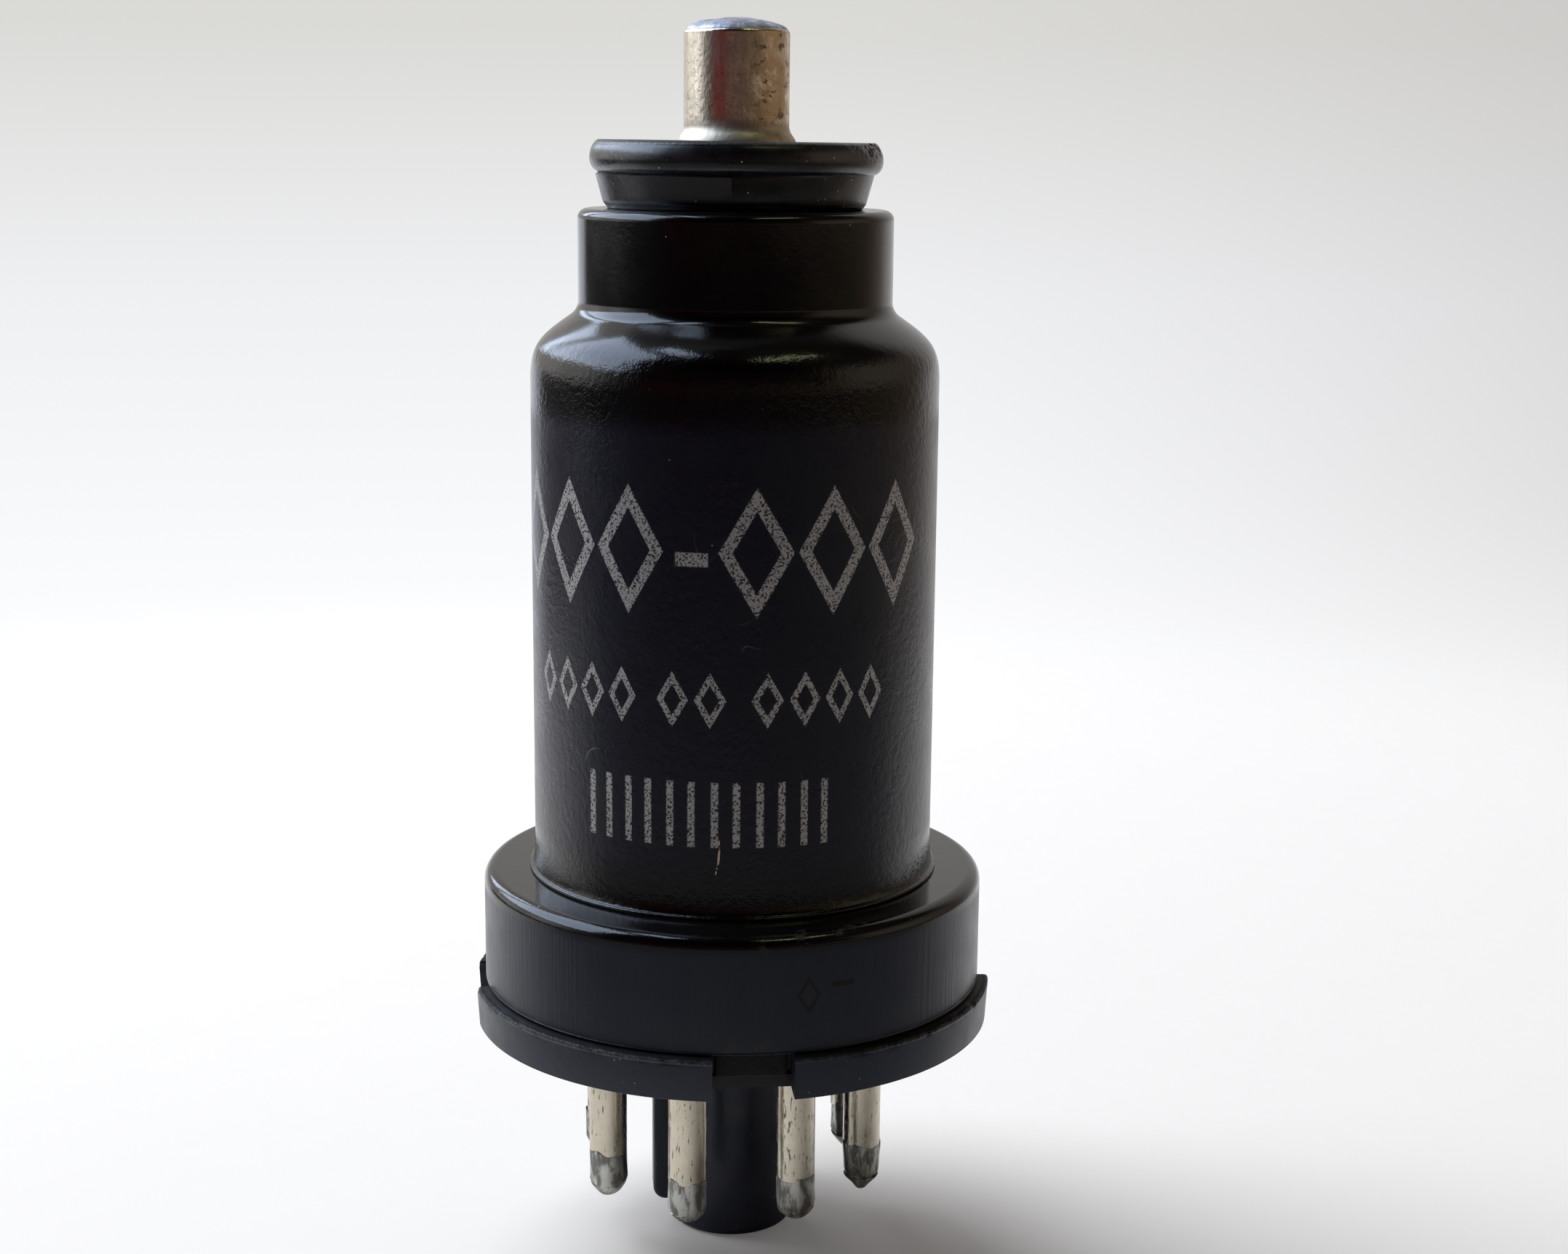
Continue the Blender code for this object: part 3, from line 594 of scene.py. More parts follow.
def stamp_mask(shader, angle, z):
    """The pressed lozenge outline and the dash beside it."""
    masks = []
    for mark in (STAMP_LOZENGE, STAMP_DASH):
        aside = shader.off(angle, radians(mark["turn"]))
        rise = shader.off(z, mark["z"])
        aside = shader.product(aside, 2 * COLLAR_RADIUS / mark["width"])
        masks.append((aside, shader.product(rise, 2 / mark["height"])))
    outline = shader.band(shader.math("ADD", *masks[0]), 1 - STAMP_LOZENGE["stroke"], 1.0, 0.05)
    dash = shader.ramp(shader.either(*masks[1]), 1.1, 0.9)
    return shader.either(outline, dash)


# Where the collar's finish changes: heights, a radius, and angles from the front
COLLAR_SATIN_START = (0.0234, 0.0226)
COLLAR_EDGE_SPAN = (0.0231, 0.0245)
COLLAR_EDGE_FADE = 0.0003
COLLAR_RIM = (0.0143, 0.015)
WORN_ARC = (0.02, 0.85, 0.12)
CRIMP_TOP = (0.018, 0.017)
CRIMP_STEP = (0.0168, 0.0171)
# Heights below which the crimped tabs, sunk under the skirt's edge, are painted near-black as their shade
CRIMP_TAB_SHADE = (0.017, 0.0167)
CRIMP_CRUMBS = (0.017, 0.0168)
CRIMP_ARC = (0.2, 0.14)


def enamel_collar():
    """The same enamel on the collar: glossy top and corner, brushed satin skirt, wear."""
    material, shader = new_shader("enamel_collar")
    x, y, z = shader.axes()
    spread = shader.spread()
    angle = shader.angle(x, y)
    skirt = shader.ramp(z, *COLLAR_SATIN_START)
    corner = shader.band(z, *COLLAR_EDGE_SPAN, COLLAR_EDGE_FADE)
    rim = shader.ramp(spread, *COLLAR_RIM)
    worn_side = shader.band(angle, *WORN_ARC)
    patches = shader.ramp(shader.noise(650, 5, 0.65), 0.55, 0.62)
    wear = shader.product(patches, corner, rim, shader.either(worn_side, 0.12))
    chips = shader.product(shader.specks(1300, 0.2, 0.09), corner, rim)
    crimped = shader.product(shader.ramp(z, *CRIMP_TOP), shader.ramp(shader.off(angle, 0), *CRIMP_ARC))
    scuffs = shader.ramp(shader.noise(900, 4, 0.6), 0.5, 0.6)
    rubbed = shader.product(crimped, shader.ramp(z, *CRIMP_STEP), scuffs)
    crumbs = shader.noise(2600, 4, 0.7)
    dust = shader.specks(620, 0.05, 0.14)
    lint = shader.hairs(330, 0.05)
    streaks = shader.noise(4800, 3, 0.7, squeeze=0.02)
    stamp = stamp_mask(shader, angle, z)
    # The crimped tabs are painted near-black: painted shade under the skirt's edge.
    tab_shade = shader.ramp(z, *CRIMP_TAB_SHADE)
    colour = shader.layered(
        shader.mix(skirt, (0.0006, 0.0006, 0.0018), (0.0022, 0.005, 0.018)),
        (tab_shade, 1.0, (0.0006, 0.0006, 0.0008)),
        (stamp, 0.9, (0.0006, 0.0006, 0.001)),
        (rubbed, 0.7, (0.022, 0.017, 0.012)),
        (wear, 0.8, (0.03, 0.022, 0.013)),
        (chips, 0.6, (0.2, 0.19, 0.17)),
        (lint, 0.3, (0.2, 0.2, 0.2)),
        (dust, 0.8, (0.36, 0.35, 0.34)),
    )
    mottle = shader.noise(500, 4)
    glossy = shader.ramp(mottle, 0.3, 0.7, 0.08, 0.13)
    satin = shader.ramp(mottle, 0.3, 0.7, 0.29, 0.35)
    roughness = shader.blend(wear, shader.blend(skirt, glossy, satin), 0.5)
    roughness = shader.blend(shader.either(stamp, tab_shade), roughness, 0.75)
    peel = shader.bump(shader.noise(2000, 3), 0.00002, 0.22)
    grain = shader.bump(shader.noise(8000, 2), 0.00001, 0.45, peel)
    normal = shader.bump(shader.product(streaks, skirt), 0.00003, 0.65, grain)
    normal = shader.bump(shader.product(crumbs, shader.ramp(z, *CRIMP_CRUMBS)), 0.00015, 0.9, normal)
    normal = shader.bump(stamp, 0.0001, -0.9, normal)
    shader.surface(colour, roughness, normal, sheen=DARK_SHEEN)
    return material


# Where the compound's colour changes: the insulator's end towards -X, painted lighter and grainy as a
# sheen, and the wafer's notches, painted near-black as their shade
SHEEN_END = (-0.0062, -0.0076)
NOTCH_SHADE_SPAN = (0.013, 0.0152)
NOTCH_SHADE_FADE = 0.0002


def phenolic(name, colour, smoothness, shine, edge_z, edge_radius, top_black):
    """Black moulding compound: filler specks, soft mottling, a crumbled pale edge."""
    material, shader = new_shader(name)
    x, y, z = shader.axes()
    spread = shader.spread()
    mottle = shader.noise(600, 5)
    crumbs = shader.noise(3300, 4, 0.7)
    rim = shader.ramp(spread, edge_radius - 0.0004, edge_radius - 0.0001)
    edge = shader.product(shader.ramp(z, edge_z - 0.0003, edge_z - 0.0001), rim)
    face = shader.product(shader.ramp(z, edge_z - 0.00022, edge_z - 0.00008), top_black)
    chipped = shader.product(edge, shader.ramp(crumbs, 0.52, 0.58))
    pits = shader.specks(1500, 0.14, 0.2)
    sheen_grain = shader.ramp(shader.noise(4200, 3, 0.7), 0.42, 0.6)
    # The insulator's end towards -X is painted lighter and grainy: a painted reflection of the bright
    # backdrop.
    painted_sheen = shader.product(shader.ramp(x, *SHEEN_END), sheen_grain)
    colour = shader.layered(
        shader.mix(shader.ramp(mottle, 0.3, 0.75), colour, tuple(1.6 * c for c in colour)),
        (shader.specks(1300, 0.07, 0.34), 0.6, (0.3, 0.3, 0.29)),
        (shader.specks(2400, 0.16, 0.15), 1 - top_black, (0.36, 0.36, 0.35)),
        (painted_sheen, 0.6 * (1 - top_black), (0.075, 0.07, 0.066)),
        # The wafer's notches are painted near-black: painted shade in the recesses.
        (shader.either(face, shader.band(spread, *NOTCH_SHADE_SPAN, NOTCH_SHADE_FADE)), 1.0, (0.0006, 0.0006, 0.0009)),
        (chipped, 0.5, (0.06, 0.064, 0.075)),
        (shader.specks(620, 0.05, 0.1), 1.0, (0.36, 0.35, 0.34)),
    )
    roughness = shader.blend(face, shader.ramp(mottle, 0.25, 0.75, smoothness, smoothness + 0.12), 0.6)
    height = shader.math("SUBTRACT", shader.noise(3000, 3), shader.product(pits, 0.8))
    normal = shader.bump(height, 0.00003, 0.3)
    normal = shader.bump(shader.product(crumbs, edge), 0.00015, 0.8, normal)
    shader.surface(colour, roughness, normal, specular=shine, sheen=DARK_SHEEN)
    return material


# Colour on the cap: heights above its foot for a tan band of tarnish and painted reflection, and an arc
# with its fade
CAP_FOOT_TARNISH_AND_SHEEN = (0.0013, 0.0007)
CAP_STAINED_ARC = (0.25, 1.75, 0.3)


def cap_nickel():
    """Aged nickel plate: drawing lines, brown stains on one side, dark spots."""
    material, shader = new_shader("cap_nickel")
    x, y, z = shader.axes()
    angle = shader.angle(x, y)
    stained_side = shader.band(angle, *CAP_STAINED_ARC)
    cloud = shader.noise(900, 5, 0.6)
    stain = shader.product(stained_side, shader.ramp(cloud, 0.28, 0.55))
    spots = shader.ramp(shader.noise(1100, 5, 0.7, squeeze=1.6), 0.55, 0.62)
    spots = shader.product(spots, shader.either(stained_side, 0.15))
    lines = shader.noise(6000, 3, squeeze=0.06)
    # The tan, rougher band round the cap's foot is partly tarnish and partly a painted reflection of the
    # brighter ceiling.
    foot = shader.ramp(z, *(bottom_of("grid_cap") + height for height in CAP_FOOT_TARNISH_AND_SHEEN))
    colour = shader.layered(
        shader.mix(shader.ramp(lines, 0.3, 0.7), (0.76, 0.7, 0.6), (0.87, 0.82, 0.72)),
        (stain, 0.85, (0.54, 0.38, 0.22)),
        (spots, 0.8, (0.1, 0.065, 0.035)),
        (foot, 0.7, (0.46, 0.4, 0.3)),
    )
    roughness = shader.blend(stain, shader.ramp(cloud, 0.3, 0.7, 0.16, 0.26), 0.34)
    roughness = shader.blend(foot, roughness, 0.48)
    dimples = shader.bump(shader.noise(3600, 3, squeeze=0.6), 0.00003, 0.75)
    normal = shader.bump(lines, 0.00001, 0.25, dimples)
    shader.surface(colour, roughness, normal, metallic=1.0)
    return material


def pin_plating():
    """Worn plating with upright scuffs and dark pits."""
    material, shader = new_shader("pin_plating")
    scuffs = shader.noise(7000, 3, 0.6, squeeze=0.16)
    pits = shader.ramp(shader.noise(5200, 4, 0.65, squeeze=0.22), 0.58, 0.66)
    cloud = shader.noise(700, 4)
    colour = shader.mix(shader.ramp(cloud, 0.3, 0.7), (0.51, 0.465, 0.375), (0.65, 0.598, 0.49))
    colour = shader.mix(shader.product(pits, 0.75), colour, (0.16, 0.13, 0.11))
    roughness = shader.blend(pits, shader.ramp(cloud, 0.3, 0.7, 0.18, 0.28), 0.6)
    height = shader.math("SUBTRACT", scuffs, pits)
    shader.surface(colour, roughness, shader.bump(height, 0.00002, 0.55), metallic=1.0)
    return material


def solder_metal(name, dull, bright, roughness):
    """Grey solder with brighter wipes and oxide."""
    material, shader = new_shader(name)
    wipes = shader.noise(1900, 5, 0.65, squeeze=0.35)
    colour = shader.mix(shader.ramp(wipes, 0.42, 0.6), dull, bright)
    crust = shader.ramp(wipes, 0.35, 0.65, roughness + 0.14, roughness)
    shader.surface(colour, crust, shader.bump(wipes, 0.00006, 0.7), metallic=1.0)
    return material


def plain_metal(name, colour, roughness):
    """A drawn wire or pressed eyelet with a little oxide."""
    material, shader = new_shader(name)
    cloud = shader.noise(1500, 4)
    tinted = shader.mix(shader.ramp(cloud, 0.3, 0.7), tuple(0.7 * c for c in colour), colour)
    rough = shader.ramp(cloud, 0.3, 0.7, roughness, roughness + 0.15)
    shader.surface(tinted, rough, shader.bump(cloud, 0.00002, 0.3), metallic=1.0)
    return material


def bead_glass():
    """Dark sealing glass with a few bubbles."""
    material, shader = new_shader("bead_glass")
    bubbles = shader.specks(3000, 0.2, 0.3)
    colour = shader.mix(shader.noise(900, 3), (0.02, 0.04, 0.09), (0.05, 0.09, 0.17))
    colour = shader.mix(bubbles, colour, (0.2, 0.25, 0.3))
    shader.surface(colour, shader.ramp(bubbles, 0, 1, 0.06, 0.2), shader.bump(bubbles, 0.00002, 0.3))
    return material


def shell_profile():
    """Lipped foot, straight body, shoulder, neck with a rolled lip, seal recess."""
    bottom = top_of("header_collar")
    top = top_of("steel_shell")
    lip = FOOT_LIP / 2
    foot = reach_of("steel_shell") - lip
    flare_top = bottom + FOOT_LIP + FOOT_FLARE_HEIGHT
    shoulder_z = bottom_of("steel_shell") + BODY_HEIGHT
    contact_z = shoulder_z + SHOULDER_HEIGHT
    contact_r = NECK_RADIUS + NECK_FILLET_RADIUS * (1 - sin(SHOULDER_SLOPE))
    neck_z = contact_z + NECK_FILLET_RADIUS * cos(SHOULDER_SLOPE)
    reach = SHOULDER_FULLNESS * hypot(SHELL_RADIUS - contact_r, SHOULDER_HEIGHT)
    pocket_z = top - POCKET_DEPTH
    recess_z = pocket_z - RECESS_DEPTH
    lip_radius = NECK_RADIUS - LIP_WIDTH
    lip_z = top - LIP_THICKNESS
    profile = [(0, bottom)]
    profile += arc(foot, bottom + lip, lip, -QUARTER, QUARTER)
    profile += arc(foot, flare_top, foot - SHELL_RADIUS, -QUARTER, -pi, radius_z=FOOT_FLARE_HEIGHT)[1:]
    profile += bezier(
        (SHELL_RADIUS, shoulder_z),
        (SHELL_RADIUS, shoulder_z + reach),
        (contact_r + reach * cos(SHOULDER_SLOPE), contact_z - reach * sin(SHOULDER_SLOPE)),
        (contact_r, contact_z),
        WIDE_STEPS,
    )
    fillet_r = NECK_RADIUS + NECK_FILLET_RADIUS
    profile += arc(fillet_r, neck_z, NECK_FILLET_RADIUS, -QUARTER - SHOULDER_SLOPE, -pi)[1:]
    edge = NECK_EDGE_RADIUS
    profile += arc(NECK_RADIUS - edge, top - edge, edge, 0, QUARTER)
    corners = [
        (NECK_RADIUS - edge, top),
        (lip_radius, top, LIP_EDGE_RADIUS),
        (lip_radius, lip_z, LIP_EDGE_RADIUS),
        (NECK_RADIUS - NECK_WALL, lip_z),
        (NECK_RADIUS - NECK_WALL, pocket_z),
        (RECESS_RADIUS, pocket_z),
        (RECESS_RADIUS, recess_z),
        (0, recess_z),
    ]
    return profile + filleted(corners)[1:]


def build_shell():
    """The sealed can."""
    piece = turned("shell_skin", shell_profile(), ROUND_SEGMENTS)
    dress(piece, ["steel_shell"], enamel_shell())


def build_collar():
    """Header cup with its skirt and four crimped tabs."""
    top = top_of("header_collar")
    under = top - HEADER_WALL
    inner = COLLAR_RADIUS - HEADER_WALL
    edge = SKIRT_EDGE_RADIUS
    corners = [
        (EXHAUST_HOLE_RADIUS, under),
        (EXHAUST_HOLE_RADIUS, top),
        (COLLAR_RADIUS, top, COLLAR_CORNER_RADIUS),
        (COLLAR_RADIUS, SKIRT_BOTTOM_Z, edge),
        (inner, SKIRT_BOTTOM_Z, edge),
        (inner, under, HEADER_BEND_RADIUS),
    ]
    profile = filleted(corners, WIDE_STEPS // 2)
    piece = turned("collar_skin", profile, ROUND_SEGMENTS)
    tab_outer = COLLAR_RADIUS - CRIMP_DEPTH
    tab_inner = tab_outer - HEADER_WALL
    tab_bottom = bottom_of("header_collar")
    root = COLLAR_RADIUS - HEADER_WALL / 2
    step_z = SKIRT_BOTTOM_Z + SEAM
    tab_corners = [
        (tab_inner, tab_bottom),
        (tab_outer, tab_bottom),
        (tab_outer, step_z, HEADER_BEND_RADIUS / 2),
        (root, step_z),
        (root, step_z + HEADER_WALL),
        (tab_inner, step_z + HEADER_WALL, HEADER_BEND_RADIUS),
    ]
    outline = filleted(tab_corners, CURVE_STEPS // 2)
    tabs = prisms("crimp_form", outline, TAB_WIDTH, NOTCH_COUNT)
    shape_with(piece, tabs, "UNION", CRIMP_ROUNDING)
    sealed = [pin_place(number) for number in range(2, PIN_COUNT + 1)]
    holes = drills("seal_hole_tool", sealed, SEAL_HOLE_RADIUS, under - OVERCUT, top + OVERCUT)
    shape_with(piece, holes, "DIFFERENCE")
    dress(piece, ["header_collar"], enamel_collar())


# The flange's crumbled edge: how far it reaches in, down and at full depth, and how deep it is
CRUMBLED = (0.0005, 0.0004, 0.0001)
CRUMB_DROP = 0.00016
CRUMB_DEPTH = 0.00013


def chip_flange(piece, radius, top):
    """Breaks up the flange's upper edge, as rough handling does."""
    for vertex in piece.data.vertices:
        point = vertex.co
        spread = hypot(point.x, point.y)
        near = fade(spread, radius - CRUMBLED[0], radius - CRUMBLED[2])
        near *= fade(point.z, top - CRUMBLED[1], top - CRUMBLED[2])
        if near == 0:
            continue
        bite = max(noise.noise(point * 1100) + 0.8 * noise.noise(point * 2300) - 0.05, 0.0)
        point.z -= CRUMB_DROP * bite * near
        shrink = 1 - CRUMB_DEPTH * bite * near / spread
        point.x *= shrink
        point.y *= shrink


def build_wafer():
    """Flange with notches, keyed hollow plug and pin holes."""
    radius = COLLAR_RADIUS + FLANGE_LIP
    top = top_of("wafer_base")
    flange_top = SEAT_Z + FLANGE_HEIGHT
    bore = PLUG_RADIUS - PLUG_WALL
    taper = FLANGE_TAPER / FLANGE_HEIGHT
    corners = [
        (0, PLUG_WALL),
        (bore, PLUG_WALL),
        (bore, top),
        (WAFER_RADIUS, top),
        (WAFER_RADIUS, flange_top),
        (radius - 0.0005, flange_top),
        (radius - 0.0003, flange_top),
        (radius, flange_top, FLANGE_EDGE_RADIUS),
        *((radius - taper * depth, flange_top - depth) for depth in FLANGE_WALL_RINGS),
        (radius - FLANGE_TAPER, SEAT_Z, FLANGE_FOOT_EDGE_RADIUS),
        (PLUG_RADIUS, SEAT_Z),
        (PLUG_RADIUS, 0, PLUG_EDGE_RADIUS),
        (0, 0),
    ]
    piece = turned("wafer_skin", filleted(corners), ROUND_SEGMENTS)
    root = -(PLUG_RADIUS - PLUG_WALL / 2)
    key_corners = [
        (root, KEY_SETBACK),
        (-KEY_REACH, KEY_SETBACK, KEY_CORNER_RADIUS),
        (-KEY_REACH, SEAT_Z + FLANGE_HEIGHT / 2),
        (root, SEAT_Z + FLANGE_HEIGHT / 2),
    ]
    key = prisms("key_form", filleted(key_corners), KEY_WIDTH, 1)
    shape_with(piece, key, "UNION", KEY_EDGE_RADIUS)
    floor = COLLAR_RADIUS - CRIMP_DEPTH - HEADER_WALL - SEAM
    ledge_z = bottom_of("header_collar") - SEAM
    notch_outline = [
        (floor + NOTCH_LEDGE, SEAT_Z - OVERCUT),
        (radius + OVERCUT, SEAT_Z - OVERCUT),
        (radius + OVERCUT, top + OVERCUT),
        (floor, top + OVERCUT),
        (floor, ledge_z),
        (floor + NOTCH_LEDGE, ledge_z),
    ]
    shape_with(piece, prisms("notch_tool", notch_outline, NOTCH_WIDTH, NOTCH_COUNT), "DIFFERENCE")
    places = [pin_place(number) for number in range(1, PIN_COUNT + 1)]
    holes = drills("pin_hole_tool", places, PIN_HOLE_RADIUS, SEAT_Z - OVERCUT, top + OVERCUT)
    shape_with(piece, holes, "DIFFERENCE")
    chip_flange(piece, radius, flange_top)
    finish = phenolic("phenolic_wafer", (0.0024, 0.0052, 0.017), 0.3, 0.4, flange_top, radius, 0.9)
    dress(piece, ["wafer_base"], finish)


# Nicks in the insulator's rim: where they are, how fine and how deep
NICKED_ARC = (radians(40), radians(65), radians(130), radians(105))
NICKED_RIM = (0.0077, 0.0083)
NICKED_DROP = (0.0013, 0.0005)
NICK_NOISE = ((700, 1), (2100, 0.8), (4600, 0.6))
NICK_DEPTH = 0.00011
NICK_DROP = 0.00007


def chip_insulator(piece, top):
    """Nicks the upper rim where the real one is chipped, and sets the disc a little askew."""
    for vertex in piece.data.vertices:
        point = vertex.co
        spread = hypot(point.x, point.y)
        angle = angle_at(point)
        side = fade(angle, *NICKED_ARC[:2]) * fade(angle, *NICKED_ARC[2:])
        high = fade(point.z, top - NICKED_DROP[0], top - NICKED_DROP[1])
        near = fade(spread, *NICKED_RIM) * high * side
        rough = 0.25 + sum(share * noise.noise(point * scale) for scale, share in NICK_NOISE)
        shrink = 1 - NICK_DEPTH * max(rough, 0.0) * near / spread
        point.x *= shrink
        point.y *= shrink
        point.z -= NICK_DROP * max(rough, 0.0) * near
        point.x -= DISC_BODY_SHIFT * fade(point.z, DISC_GROOVE_Z, DISC_BODY_TOP_Z)
    pivot = Matrix.Translation((0, 0, DISC_BODY_FOOT_Z))
    piece.data.transform(pivot @ Matrix.Rotation(DISC_TILT, 4, "Y") @ pivot.inverted())


def bead_points(radius, top):
    """The rounded rim of the insulator, from its flat top down to the groove."""
    bead_z = top - DISC_BEAD_DROP
    centre = radius + DISC_BEAD_OVERSHOOT - DISC_BEAD_DEPTH
    rim_turn = acos((radius - DISC_RIM_INSET - centre) / DISC_BEAD_DEPTH)
    groove_turn = acos((DISC_GROOVE_RADIUS - centre) / DISC_BEAD_DEPTH)
    rise = DISC_BEAD_DROP / sin(rim_turn)
    fall = (bead_z - DISC_GROOVE_Z) / sin(groove_turn)
    upper = arc(centre, bead_z, DISC_BEAD_DEPTH, rim_turn, 0, WIDE_STEPS, rise)
    return upper + arc(centre, bead_z, DISC_BEAD_DEPTH, 0, -groove_turn, WIDE_STEPS, fall)[1:]


def build_insulator():
    """Beaded disc over the neck."""
    radius = reach_of("cap_insulator")
    top = top_of("cap_insulator")
    foot_bottom = bottom_of("cap_insulator")
    foot_top = foot_bottom + DISC_FOOT_HEIGHT
    neck_top = top_of("steel_shell")
    hollow_top = foot_bottom + DISC_HOLLOW_DEPTH
    corners = [
        (DISC_BORE, hollow_top),
        (DISC_BORE, top),
        *bead_points(radius, top),
        (DISC_BODY_RADIUS, DISC_BODY_TOP_Z),
        (DISC_BODY_FOOT_RADIUS, DISC_BODY_FOOT_Z, DISC_CORNER_RADIUS),
        (DISC_WAIST_RADIUS, neck_top),
        (DISC_WAIST_RADIUS, foot_top),
        (DISC_FOOT_RADIUS, foot_top),
        (DISC_FOOT_RADIUS, foot_bottom),
        (DISC_HOLLOW, foot_bottom),
        (DISC_HOLLOW, hollow_top),
    ]
    piece = turned("insulator_skin", filleted(corners, WIDE_STEPS), RIM_SEGMENTS)
    chip_insulator(piece, top)
    finish = phenolic("phenolic_insulator", (0.0018, 0.0022, 0.006), 0.23, 0.75, top, radius, 0.0)
    dress(piece, ["cap_insulator"], finish)


def build_cap():
    """Drawn grid cap with a flared mouth, and its dome of solder."""
    bottom = top_of("cap_insulator") - SEAM / 2
    top = top_of("grid_cap") + CAP_RAISE
    mouth = reach_of("grid_cap")
    lip_z = bottom + CAP_LIP
    cone_width = mouth - CAP_RADIUS - CAP_FLARE_BEND * (1 - cos(CAP_FLARE_SLOPE))
    flare_z = lip_z + cone_width / tan(CAP_FLARE_SLOPE) + CAP_FLARE_BEND * sin(CAP_FLARE_SLOPE)
    inner = CAP_RADIUS - CAP_WALL
    profile = [(CAP_HOLE_RADIUS, top)]
    corner = CAP_CORNER_RADIUS
    profile += arc(CAP_RADIUS - corner, top - corner, corner, QUARTER, 0)
    profile += arc(CAP_RADIUS + CAP_FLARE_BEND, flare_z, CAP_FLARE_BEND, pi, pi + CAP_FLARE_SLOPE)
    profile += [(mouth, lip_z), (mouth, bottom), (mouth - CAP_WALL, bottom)]
    profile += [(inner, flare_z), (inner, top - CAP_WALL), (CAP_HOLE_RADIUS, top - CAP_WALL)]
    cap = turned("cap_skin", profile, CAP_SEGMENTS)
    for vertex in cap.data.vertices:
        point = vertex.co
        swell = 1 + 0.004 * noise.noise(Vector((point.x, point.y, point.z * 0.4)) * 500)
        point.x *= swell
        point.y *= swell
    dress(cap, ["grid_cap"], cap_nickel())


def build_cap_solder():
    """A dome of solder with a wavy edge and soft lumps, run down onto the cap."""
    bottom = top_of("grid_cap") + CAP_RAISE - SEAM / 2
    top = top_of("cap_solder")
    edge = min(reach_of("cap_solder"), CAP_RADIUS - CAP_CORNER_RADIUS / 2)
    plug_z = bottom_of("cap_solder")
    plug_radius = CAP_HOLE_RADIUS - SEAM
    profile = [(0, plug_z), (plug_radius, plug_z), (plug_radius, bottom)]
    profile += arc(0, bottom, edge, 0, QUARTER, WIDE_STEPS, top - bottom)[:-1]
    profile += [(0, top)]
    dome = turned("cap_solder_skin", profile, CAP_SEGMENTS)
    for vertex in dome.data.vertices:
        point = vertex.co
        spread = hypot(point.x, point.y)
        outside = fade(spread, plug_radius, 2 * plug_radius)
        lump = noise.noise(point * 700) + 0.4 * noise.noise(point * 1700)
        point.z += outside * 0.00008 * lump - 0.00004 * outside
        wave = 1 + outside * 0.022 * noise.noise(Vector((point.x, point.y, 0)) * 800)
        point.x *= wave
        point.y *= wave
    # The dome's grey is tinted blue: a painted reflection of the sky that its top faces.
    finish = solder_metal("cap_solder", (0.44, 0.45, 0.54), (0.72, 0.74, 0.85), 0.48)
    dress(dome, ["cap_solder"], finish)


# Each pin's solder: how pointed its end is, how lumpy, how far it hangs, and which noise shapes it
SOLDER_SHAPES = {
    1: (0.3, 1.0, 0.0002, 3.1),
    2: (0.15, 1.1, 0.0, 7.7),
    3: (0.1, 0.9, 0.0, 12.4),
    4: (0.95, 1.0, 0.00038, 18.9),
    5: (0.55, 1.8, 0.0003, 24.2),
    6: (0.3, 1.2, 0.0, 31.5),
    7: (0.2, 1.2, 0.0, 37.8),
    8: (0.6, 1.8, 0.0003, 43.3),
}
SOLDER_LUMP = 0.0001


def pin_profile(number):
    """Hollow pin with its staked head, shank and stepped tip."""
    top = top_of(f"pin_{number}")
    head_z = top - PIN_HEAD_HEIGHT
    tip_z = bottom_of(f"pin_{number}")
    step_z = top_of(f"pin_solder_{number}") + SEAM
    bore = PIN_RADIUS - PIN_WALL
    return [
        (bore, top),
        (PIN_HEAD_RADIUS, top),
        (PIN_HEAD_RADIUS, head_z),
        (PIN_RADIUS, head_z),
        (PIN_RADIUS, step_z + PIN_RADIUS - PIN_TIP_RADIUS),
        (PIN_TIP_RADIUS, step_z),
        (PIN_TIP_RADIUS, tip_z),
        (PIN_TIP_BORE, tip_z),
        (PIN_TIP_BORE, step_z),
        (bore, step_z + bore - PIN_TIP_BORE),
    ]


def solder_profile(number):
    """A dipped end: a cup round the tip, as thick as the shank, rounded below."""
    bottom = bottom_of(f"pin_solder_{number}")
    top = top_of(f"pin_solder_{number}")
    outer = PIN_RADIUS + SOLDER_SWELL
    inner = PIN_TIP_RADIUS + SEAM
    seat_z = bottom + SOLDER_END
    half_height = (top - bottom) / 2
    edge_z = top + 5 * SEAM
    profile = [(0, seat_z), (inner, seat_z), (inner, top), (PIN_RADIUS - SOLDER_FEATHER, edge_z)]
    profile += [(PIN_RADIUS + SOLDER_FEATHER, edge_z), (PIN_RADIUS + 2 * SOLDER_FEATHER, top + 3 * SEAM)]
    profile += arc(0, bottom + half_height, outer, 0, -QUARTER, WIDE_STEPS, half_height)[:-1]
    profile += [(0, bottom)]
    return profile


def shape_solder(mesh, number, bottom, top):
    """Lumps on the outside of a pin's solder, and a point on some."""
    pointed, lumpy, hang, seed = SOLDER_SHAPES[number]
    offset = Vector((seed, 0, 0))
    for vertex in mesh.vertices:
        point = vertex.co
        spread = hypot(point.x, point.y)
        if spread < PIN_TIP_RADIUS + 2 * SEAM and point.z > bottom + SOLDER_END - SEAM:
            continue
        lump = noise.noise(point * 1300 + offset) + 0.5 * noise.noise(point * 2900 + offset)
        low = fade(point.z, top, bottom)
        ragged = fade(point.z, top + 2 * SEAM, top + 3 * SEAM)
        point.z += 3 * SEAM * ragged * noise.noise(Vector((point.x, point.y, seed * SEAM)) * 1100)
        narrow = 1 + lumpy * SOLDER_LUMP * lump / max(spread, PIN_TIP_RADIUS) - 0.45 * pointed * low * low
        point.x *= narrow
        point.y *= narrow
        point.z += 0.6 * SOLDER_LUMP * lump * fade(point.z, bottom, bottom + 5 * SEAM) - hang * low


